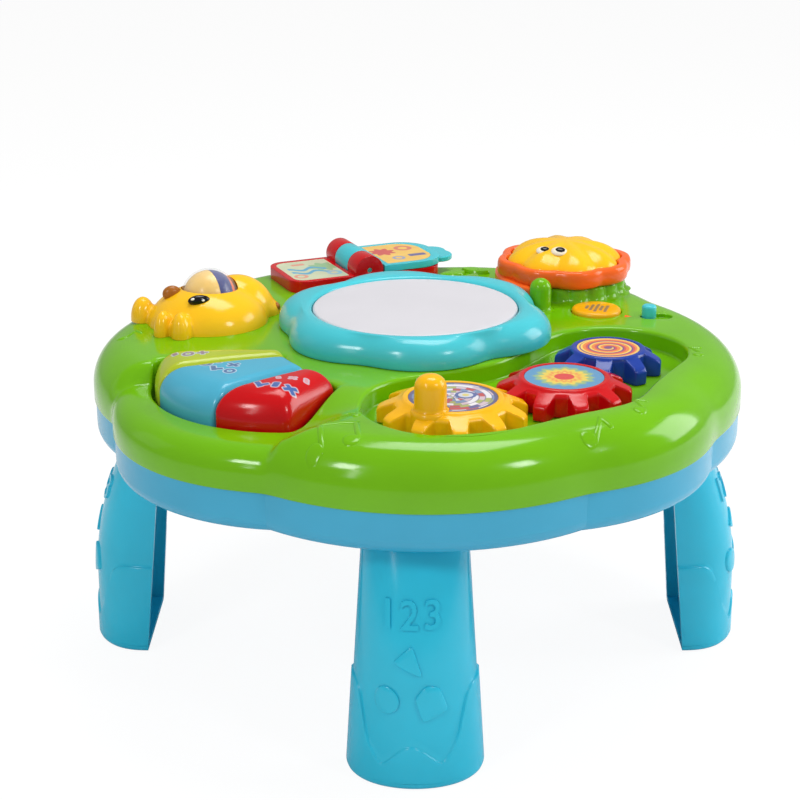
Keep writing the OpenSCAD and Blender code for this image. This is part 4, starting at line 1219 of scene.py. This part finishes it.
def book(red, turquoise):
    """The book's back and its page, with rounded edges and a tab on the page."""
    base = edged(copy_of("book_base", "book_base_skin"), 1.1)
    settle(base, red, "table", ["book_base"], "red_plastic", 35)
    page = edged(copy_of("book_page", "book_page_skin"), 0.6)
    form = merged([disc(50, 1, 9), disc(50, -8, 9)], 1.0)
    tab = skin("tab", rings_at(form, (50, -4), (
        (-0.6, PAGE_FOOT), (0, PAGE_FOOT + 0.6), (0, PAGE_FOOT + 2.6), (-0.6, PAGE_FOOT + 3.2)), 96))
    page = join("book_page_skin", [page, placed(tab, BOOK_AT, BOOK_TURN)])
    settle(page, turquoise, "page", ["book_page"], "turquoise_plastic", 35)


# ---- animal and ball ----

def blended(pieces, voxel, rounds):
    """Melts ovals into one skin and smooths it."""
    piece = join("animal_skin", pieces)
    modify(piece, "REMESH", mode="VOXEL", voxel_size=voxel)
    return modify(piece, "SMOOTH", factor=0.5, iterations=rounds)


def animal(yellow, brown, dark, white):
    """A round animal that lies on the deck, with an opening for the ball."""
    body = [oval("body", (-113, 31, 166), (33, 31, 22.5)), oval("body", (-99, 45, 165), (23, 19, 25), 25),
            oval("body", (-88, 48, 166), (14.5, 13, 12), 25)]
    piece = blended(body, 0.9, 14)
    limbs = [oval("limb", (-134.0, 6.5, 169.5), (5.0, 7.6, 11.5), -12),
             oval("limb", (-124.0, 2.5, 169.5), (5.8, 8.2, 11.5), 4),
             oval("limb", (-148.5, 33, 169), (6.8, 8, 12))]
    piece = blended([piece] + limbs, 0.75, 6)
    deselect()
    bpy.ops.mesh.primitive_cube_add(size=120, location=(-113, 31, DECK + 0.05 - 60))
    carve(piece, bpy.context.object)
    deselect()
    bpy.ops.mesh.primitive_uv_sphere_add(segments=96, ring_count=64, radius=BALL_R + 0.8, location=BALL_AT)
    carve(piece, bpy.context.object)
    settle(piece, yellow, "table", ["hippo_body"], "yellow_plastic", 50)
    # The brown ear is painted shade: the darkness of an ear lying in shade is put into its colour. The nose
    # tip takes the same dark brown.
    for name, at, size, paint in (("animal_ear", (-131.5, 27, 184.5), (5.2, 3.4, 4.4), brown),
                                  ("animal_eye", (-115.4, 13.2, 184.6), (6.0, 2.6, 2.9), dark),
                                  # The two white ovals on the eye are painted highlights.
                                  ("animal_eye_glint", (-118.0, 11.0, 185.7), (1.5, 0.8, 0.9), white),
                                  ("animal_eye_glint_small", (-112.9, 11.6, 185.0), (0.9, 0.6, 0.6), white),
                                  ("animal_nose", (-76.6, 47.5, 171.2), (1.9, 2.8, 2.4), brown)):
        settle(oval(name, at, size, 20), paint, "table")


BAND_SLANT = 12
BAND_THICK = 1.2


def ball(clear, navy, orange, pale):
    """Clear ball that turns on its axle, with a coloured band inside."""
    inner = BALL_R - BALL_WALL

    def arc(radius, way):
        """From one pole to the other, upwards where way is 1 and downwards where it is -1."""
        return [(radius * math.sin(math.radians(a)), -way * radius * math.cos(math.radians(a)))
                for a in np.linspace(9, 171, 55)]

    def barrel(name, low, high):
        """Band that follows the ball's inside between two planes."""
        fit = inner - 0.2
        steps = [low + (high - low) * i / 10 for i in range(11)]
        outer = [(math.sqrt(fit * fit - z * z), z) for z in steps]
        back = [(r - BAND_THICK, z) for r, z in reversed(outer)]
        return tube(name, circle_rings((0, 0), outer + back + outer[:1]))

    profile = [(1.6, -15.42)] + arc(BALL_R, 1) + [(1.6, 15.42), (1.6, inner - 0.1)] + arc(inner, -1)
    profile += [(1.6, 0.1 - inner), (1.6, -15.42)]
    shell = tube("ball_shell", circle_rings((0, 0), profile))

    for piece, paint, nodes, slant in (
            (shell, clear, ["roller_ball"], 0),
            (barrel("ball_band", 0.4, 8.8), navy, ["rainbow_band"], BAND_SLANT),
            (barrel("ball_band_edge", 9.0, 12.4), orange, [], BAND_SLANT),
            (barrel("ball_band_pale", -13.6, 0.2), pale, [], BAND_SLANT)):
        turn = Matrix.Rotation(math.radians(BALL_TURN + slant), 4, "Z")
        piece.data.transform(Matrix.Translation(BALL_AT) @ turn @ Matrix.Rotation(math.radians(90), 4, "Y"))
        settle(piece, paint, "ball", nodes)


# ---- button and switch ----

def mode_button(paint):
    """Round button with a flange below the deck."""
    profile = [(3.5, 162.4), (3.5, 163.2), (15.3, 163.2), (15.4, 163.4), (15.4, 165), (15.3, 165.2),
               (13.6, 165.2)]
    profile += [(13.6 - inset, 170.2 - down) for inset, down in quarter(1.8, 8)]
    profile += [(9, 170.42), (5, 170.6), (0.4, 170.68)]
    settle(turned("mode_button_cap", MODE_AT, profile, 96), paint, "mode", ["mode_button"], "yellow_plastic")


def knob(paint):
    """Round grip of the switch, with a thin neck that goes down through the slot."""
    profile = [(1.8, 164.2), (1.8, 167.1), (3.7, 167.1), (4.0, 167.5)]
    profile += [(4.0 - inset, 174.6 - down) for inset, down in quarter(1.6, 8, 0, 84)] + [(0.5, 174.7)]
    settle(turned("switch_grip", KNOB_AT, profile, 48), paint, "knob", ["switch_knob"], "turquoise_plastic")


# ---- soft parts ----

PAD_HOLE = 53


def rubber_dome(name, centre, node, paint):
    """A rubber dome under a button."""
    low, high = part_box(node)
    foot, height = low[2] / METRE, (high[2] - low[2]) / METRE
    profile = [(0.4, height - 1.6), (3.4, height - 1.6), (3, 0), (7, 0), (7, 1), (4.8, 1),
               (4.2, height - 0.4), (3.6, height), (0.4, height)]
    piece = settle(turned(name, centre, [(r, foot + z) for r, z in profile], 48), paint, "table", [node])
    centre[0] * METRE
    centre[1] * METRE
    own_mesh(piece)


def foam_pad(paint):
    """Foam ring below the drum's disc."""
    low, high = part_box("drum_pad")
    foot, top, radius = low[2] / METRE, high[2] / METRE, (high[0] - low[0]) / METRE / 2
    profile = [(PAD_HOLE, foot), (radius, foot), (radius, top), (PAD_HOLE, top), (PAD_HOLE, foot)]
    piece = tube("drum_pad_ring", circle_rings(DRUM_AT, profile, 192))
    settle(piece, paint, "table", ["drum_pad"])
    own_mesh(piece)


# ---- materials that need more than a tone ----

# Prints are only on what lies higher than this
PRINT_FROM = 167


def clear_plastic():
    """Clear plastic: nearly nothing where it is seen straight on, paler towards its edges."""
    paint = Paint("clear_plastic", ior=1.46, roughness=0.04, specular_ior_level=0.4)
    edge = Value(paint, paint.node("LayerWeight", Blend=0.25).outputs["Facing"])
    haze = paint.noise(7, 4)
    solid = (0.03 + edge * 0.24 + (haze - 0.5) * 0.06).clamped()
    paint.give(paint.shader.inputs["Alpha"], solid)
    tone = paint.mix(haze, linear(236, 238, 236), linear(246, 246, 242))
    return paint.finish(tone, 0.04 + (haze - 0.5) * 0.03)


def metal(name, colour):
    """Zinc-plated steel with a cloudy grain."""
    paint = Paint(name, metallic=1.0)
    grain = paint.noise(1.25, 4)
    tone = paint.mix(grain, shaded(colour, 0.86), shaded(colour, 1.08))
    return paint.finish(tone, 0.28 + (grain - 0.5) * 0.2, paint.bump(grain, 0.01))


def rubber(name, colour):
    """Dull rubber or foam with a fine skin and a little dust."""
    paint = Paint(name, specular_ior_level=0.3)
    dust = paint.noise(2.5, 5)
    tone = paint.mix(dust, shaded(colour, 0.9), shaded(colour, 1.08))
    return paint.finish(tone, 0.6 + (dust - 0.5) * 0.2, paint.bump(paint.noise(0.5, 3), 0.03))


TRACK_PITCH = 2.6


def circuit_board():
    """Green board with broken rows of copper tracks under its lacquer."""
    paint = Paint("circuit_board", coat_weight=0.3)
    x, y, _ = paint.split(paint.place())
    row = (abs(x % TRACK_PITCH - TRACK_PITCH / 2) - 1.05).inside(0.1)
    track = row.lower(((y * 0.37).sine() - 0.2).clamped())
    board = paint.mix(paint.noise(4, 3), linear(20, 92, 48), linear(26, 110, 58))
    tone = paint.mix(track, board, linear(52, 138, 74))
    return paint.finish(tone, 0.4 + (paint.noise(3, 3) - 0.5) * 0.1, paint.bump(track, 0.03))


def battery_jacket():
    """Dark jacket with a brass-coloured band."""
    paint = Paint("battery_jacket", metallic=0.3)
    _, y, _ = paint.split(paint.place((0, 62, 0)))
    band = (abs(y + 12) - 8).inside(0.2)
    tone = paint.mix(band, linear(60, 60, 64), linear(190, 150, 60))
    return paint.finish(tone, 0.35 + (paint.noise(6, 3) - 0.5) * 0.12, paint.bump(paint.noise(1.2, 2), 0.01))


def printed_button():
    """Yellow cap with a soft grey print of a sound wave: five bars of different heights."""
    def marks(paint, tone, roughness):
        x, y, _ = paint.split(paint.place((MODE_AT[0], MODE_AT[1] - 2, 0), -16))
        near = None
        for i, half_h in enumerate((3.0, 5.6, 7.4, 4.6, 6.2)):
            one = bar(x - 2.7 * (i - 2), y, 0.95, half_h, 0.5)
            near = near.lower(one) if near else one
        return paint.mix(near.inside(0.25) * 0.9, tone, linear(132, 112, 84)), roughness + near.inside() * 0.1

    return moulded("mode_button_plastic", linear(250, 176, 16), 0.24, marks=marks)


def key_figure(x, y, kind, size):
    """Distance from a figure that is printed on a key."""
    if kind == "ring":
        return abs((x * x + y * y * 0.8).root() - size * 0.72) - size * 0.26
    if kind == "cross":
        return bar(x, y, size * 0.3, size, 0.5).lower(bar(x, y, size, size * 0.3, 0.5))
    if kind == "step":
        foot = bar(x - size * 0.3, y + size * 0.5, size * 0.6, size * 0.34)
        return bar(x + size * 0.4, y, size * 0.36, size).lower(foot)
    return bar(x, y, size * 0.5, size, size * 0.3)


def key_print(name, colour, printed):
    """Key plastic with pale-edged prints: each a place, a turn, a kind, a size and a colour."""
    def marks(paint, tone, roughness):
        for cx, cy, turn, kind, size, ink in printed:
            x, y, z = paint.split(paint.place((cx, cy, 0), turn))
            form = key_figure(x, y, kind, size)
            top = (PRINT_FROM - z).inside(0.5)
            tone = paint.mix((form - 0.6).inside(0.2) * top * 0.75, tone, linear(196, 210, 226))
            tone = paint.mix(form.inside(0.2) * top, tone, ink)
        return tone, roughness

    return moulded(name, colour, 0.16, marks=marks)


def page_figure(x, y, kind, size):
    """Distance from a figure that is printed on a page."""
    if kind == "sun":
        far, way = ring_marks(x, y)
        return far - size - (way * 8).sine() * size * 0.18
    if kind == "ring":
        return abs(distance(x, y) - size) - size * 0.32
    if kind == "wave":
        crest = (x * (6.28 / (size * 1.3))).sine() * size * 0.22
        return (abs(y - crest) - size * 0.17).higher(abs(x) - size)
    return bar(x, y, size, size * 0.45, size * 0.2)


def page_label(name, ground, patches):
    """Printed page: soft ground, a large motif and a few small ones."""
    def draw(paint):
        x, y, _ = paint.split(paint.place((*BOOK_AT, 0), BOOK_TURN))
        tone = paint.mix(((paint.noise(9, 3) - 0.45) * 3).clamped(), ground, shaded(ground, 1.12))
        for colour, cx, cy, kind, size in patches:
            tone = paint.mix(page_figure(x - cx, y - cy, kind, size).inside(0.25), tone, colour)
        return tone

    return label(name, draw)


# ---- the table's finishes ----

def small_mark(paint, tone, roughness):
    """A small orange triangle printed beside the switch."""
    x, y, z = paint.split(paint.place((116.5, 39.9, 0), 20))
    form = (abs(x) * 1.7 + y - 2.2).higher(-1.6 - y).inside(0.2) * (PRINT_FROM - z).inside(0.5)
    return paint.mix(form, tone, ORANGE), roughness


def finishes():
    """Makes every piece in its finish, and gives the solids that stay theirs."""
    green = moulded("green_plastic", GREEN, 0.13, marks=small_mark)
    tray_blue = moulded("tray_plastic", TRAY_BLUE, 0.22)
    leg_blue = moulded("leg_plastic", LEG_BLUE, 0.2)
    turquoise = moulded("turquoise_plastic", TURQUOISE, 0.18)
    yellow = moulded("yellow_plastic", YELLOW, 0.2)
    red = moulded("red_plastic", RED, 0.2)
    blue = moulded("dark_blue_plastic", GEAR_BLUE, 0.2)
    orange = moulded("orange_plastic", ORANGE, 0.2)
    grey = moulded("drum_white", PALE_GREY, 0.38, drift=0.02)
    ink = moulded("dark_print", BLACK, 0.12)
    # White for the painted highlights on the animal's eye.
    white = moulded("painted_glint_white", WHITE, 0.2, drift=0.02)
    cream = moulded("cream_print", linear(238, 228, 204), 0.25, drift=0.02)
    # Dark brown for the animal's nose tip, and painted shade on its ear.
    brown = moulded("brown_and_painted_shade", linear(168, 100, 24), 0.3)
    steel = metal("zinc_steel", (0.6, 0.6, 0.62, 1))

    top_skin(green)
    legs(leg_blue)
    drum_ring(turquoise)
    drum_skin(grey)
    gears(yellow, red, blue)
    blue_ink, grey_ink = linear(72, 104, 168), linear(84, 118, 160)
    rose_ink, mauve_ink = linear(214, 150, 160), linear(150, 130, 140)
    red_print = key_print("key_red_plastic", RED, [
        (-73.5, -98.0, 20, "step", 3.6, blue_ink), (-66.5, -99.5, -10, "block", 3.2, blue_ink),
        (-59.5, -102.0, 30, "cross", 3.6, blue_ink), (-66, -89.0, 10, "block", 1.6, rose_ink),
        (-59, -89.5, 40, "cross", 2.2, rose_ink), (-52.5, -89.5, 0, "block", 1.8, rose_ink)])
    key("red_key_skin", 0, red_print, "red_key", "key_red", "red_plastic")
    blue_print = key_print("key_blue_plastic", KEY_BLUE, [
        (-103.5, -66.5, 30, "ring", 3.4, grey_ink), (-97.5, -74, 10, "step", 3.4, grey_ink),
        (-96.5, -63.5, -20, "block", 2.6, grey_ink), (-89.5, -69.5, 40, "cross", 3.4, grey_ink),
        (-90.5, -79, 0, "ring", 3.0, grey_ink)])
    key("blue_key_skin", 1, blue_print, "blue_key", "key_blue", "key_blue_plastic")
    green_print = key_print("key_green_plastic", KEY_GREEN, [
        (-121, -49, 20, "block", 2.4, mauve_ink), (-114, -51, -20, "ring", 3.0, mauve_ink),
        (-107, -49.5, 10, "cross", 2.8, mauve_ink)])
    key("green_key_skin", 2, green_print, "yellow_key", "key_yellow", "key_green")
    flower(orange, moulded("bloom_plastic", linear(254, 194, 18), 0.2), cream, ink)
    book(red, turquoise)
    animal(moulded("animal_plastic", ANIMAL_YELLOW, 0.16), brown, ink, white)
    ball(clear_plastic(), moulded("navy_plastic", NAVY, 0.2), orange,
         moulded("pale_plastic", linear(246, 204, 110), 0.25))
    mode_button(printed_button())
    knob(turquoise)

    rubber_white = rubber("white_silicone", linear(222, 222, 216))
    for stem, name, joint in zip(KEY_STEMS, ("red_key_dome", "blue_key_dome", "green_key_dome"),
                                 ("red_key_press", "blue_key_press", "yellow_key_press")):
        rubber_dome(name, stem, "key_domes", rubber_white)
    rubber_dome("flower_dome_skin", FLOWER_AT, "flower_dome", rubber_white)
    rubber_dome("mode_dome_skin", MODE_AT, "mode_dome", rubber_white)
    foam_pad(rubber("grey_foam", linear(70, 70, 74)))
    boards = circuit_board()
    black = rubber("black_plastic", linear(28, 28, 30))
    water, peach = linear(74, 168, 206), linear(232, 150, 124)
    page = page_label("page_label", linear(244, 196, 84), [
        (linear(214, 74, 62), 20, 5, "sun", 7.0), (linear(96, 92, 150), 37, -8, "block", 5.4),
        (linear(222, 120, 90), 35, 9, "ring", 4.2), (linear(150, 160, 190), 24, -11, "ring", 3.0)])
    ground = page_label("base_label", linear(206, 214, 176), [
        (linear(150, 196, 140), -18, 4, "sun", 8.0), (water, -29, 2.5, "wave", 11),
        (water, -29, -5, "wave", 11), (peach, -31, 13, "block", 4.0), (peach, -38, -12, "ring", 3.2),
        (linear(150, 196, 214), -17, -11, "ring", 3.4), (linear(160, 200, 214), 30, 4, "ring", 4.6)])
    # The solids that stay as they are
    kept = {tray_blue: ["tray", "battery_door"],
            label("ring_label", checked_rings): ["yellow_gear_disc"],
            label("sunburst_label", sunburst): ["red_gear_disc"],
            label("spiral_label", spiral): ["blue_gear_disc"],
            page: ["page_cards"], ground: ["base_cards"],
            steel: ["gear_screws", "book_pin", "ball_axle", "door_screw", "battery_contacts", "board_screws",
                    "shell_screws"],
            boards: ["drum_board", "key_board", "side_board", "main_board"],
            battery_jacket(): ["batteries"], black: ["slide_switch", "speaker"]}
    for material, nodes in kept.items():
        for node in nodes:
            for place in bpy.data.objects[node].material_slots:
                place.material = material


# ---- studio ----

# From here on in metres.
FLOOR_SIZE, FLOOR_AT = 12, -0.0002
FLOOR_WHITENESS = 0.88
AIR_STRENGTH = 0.36
CAMERA_AT = (0, -0.9286, 0.4554)
CAMERA_TILT = 70.85
LENS, CAMERA_SHIFT = 82.53, -0.019
# Each lamp's place, the point it faces, its width and height, and its power
LAMPS = [("left_softbox", (-0.9, -1.1, 1.25), (0, 0, 0.12), (0.28, 0.34), 6.2),
         ("right_softbox", (1.0, -0.9, 1.15), (0, 0, 0.12), (0.26, 0.3), 5),
         ("front_strip", (-0.78, -1.25, 0.8), (0, 0, 0.1), (0.08, 0.5), 1.2),
         ("right_wall", (1.5, 0.35, 0.75), (0, 0, 0.15), (0.8, 0.9), 12),
         ("left_wall", (-1.5, 0.25, 0.7), (0, 0, 0.15), (0.7, 0.8), 0.6),
         ("top_softbox", (0.15, 0.35, 1.7), (0, 0, 0.15), (0.9, 0.7), 14)]


def put(name, data, place):
    """A lamp or a camera at its place."""
    holder = bpy.data.objects.new(name, data)
    bpy.context.scene.collection.objects.link(holder)
    holder.location = place
    return holder


def studio_floor():
    deselect()
    bpy.ops.mesh.primitive_plane_add(size=FLOOR_SIZE, location=(0, 0, FLOOR_AT))
    floor = bpy.context.object
    floor.name = "studio_floor"
    paint = Paint("floor_white", roughness=0.9, specular_ior_level=0.1)
    flecks = paint.node("TexNoise", Vector=paint.node("TexCoord").outputs["Object"], Scale=3.0)
    paint.finish(paint.mix(flecks.outputs["Fac"], (0.86, 0.86, 0.86, 1), (0.88, 0.88, 0.88, 1)))
    # The camera sees mostly plain white, with a faint shadow under the table.
    white = paint.node("Emission", Color=(1, 1, 1, 1), Strength=1.05)
    seen = Value(paint, paint.node("LightPath").outputs["Is Camera Ray"]) * FLOOR_WHITENESS
    blend = paint.node("MixShader")
    for place, link in enumerate((seen.socket, paint.shader.outputs["BSDF"], white.outputs["Emission"])):
        paint.give(blend.inputs[place], link)
    paint.give(paint.tree.nodes["Material Output"].inputs["Surface"], blend.outputs["Shader"])
    floor.data.materials.append(paint.material)


def studio_air():
    """Even light from all round; the camera sees it as plain white."""
    world = bpy.data.worlds.new("studio_air")
    bpy.context.scene.world = world
    world.use_nodes = True
    tree = world.node_tree
    air, seen_white = tree.nodes["Background"], tree.nodes.new("ShaderNodeBackground")
    for background, strength in ((air, AIR_STRENGTH), (seen_white, 1)):
        background.inputs["Color"].default_value = (1, 1, 1, 1)
        background.inputs["Strength"].default_value = strength
    paths = tree.nodes.new("ShaderNodeLightPath")
    choose = tree.nodes.new("ShaderNodeMixShader")
    tree.links.new(paths.outputs["Is Camera Ray"], choose.inputs[0])
    tree.links.new(air.outputs[0], choose.inputs[1])
    tree.links.new(seen_white.outputs[0], choose.inputs[2])
    tree.links.new(choose.outputs[0], tree.nodes["World Output"].inputs["Surface"])


def studio():
    studio_floor()
    studio_air()
    for name, place, aim, size, power in LAMPS:
        lamp = bpy.data.lights.new(name, "AREA")
        lamp.shape = "RECTANGLE"
        lamp.size, lamp.size_y = size
        lamp.energy = power
        way = Vector(aim) - Vector(place)
        put(name, lamp, place).rotation_euler = way.to_track_quat("-Z", "Y").to_euler()
    eye = bpy.data.cameras.new("camera")
    eye.sensor_width = 36
    eye.lens = LENS
    eye.shift_x = CAMERA_SHIFT
    camera = put("camera", eye, CAMERA_AT)
    camera.rotation_euler = (math.radians(CAMERA_TILT), 0, 0)
    bpy.context.scene.camera = camera
    bpy.context.scene.view_settings.view_transform = "Standard"


finishes()
studio()
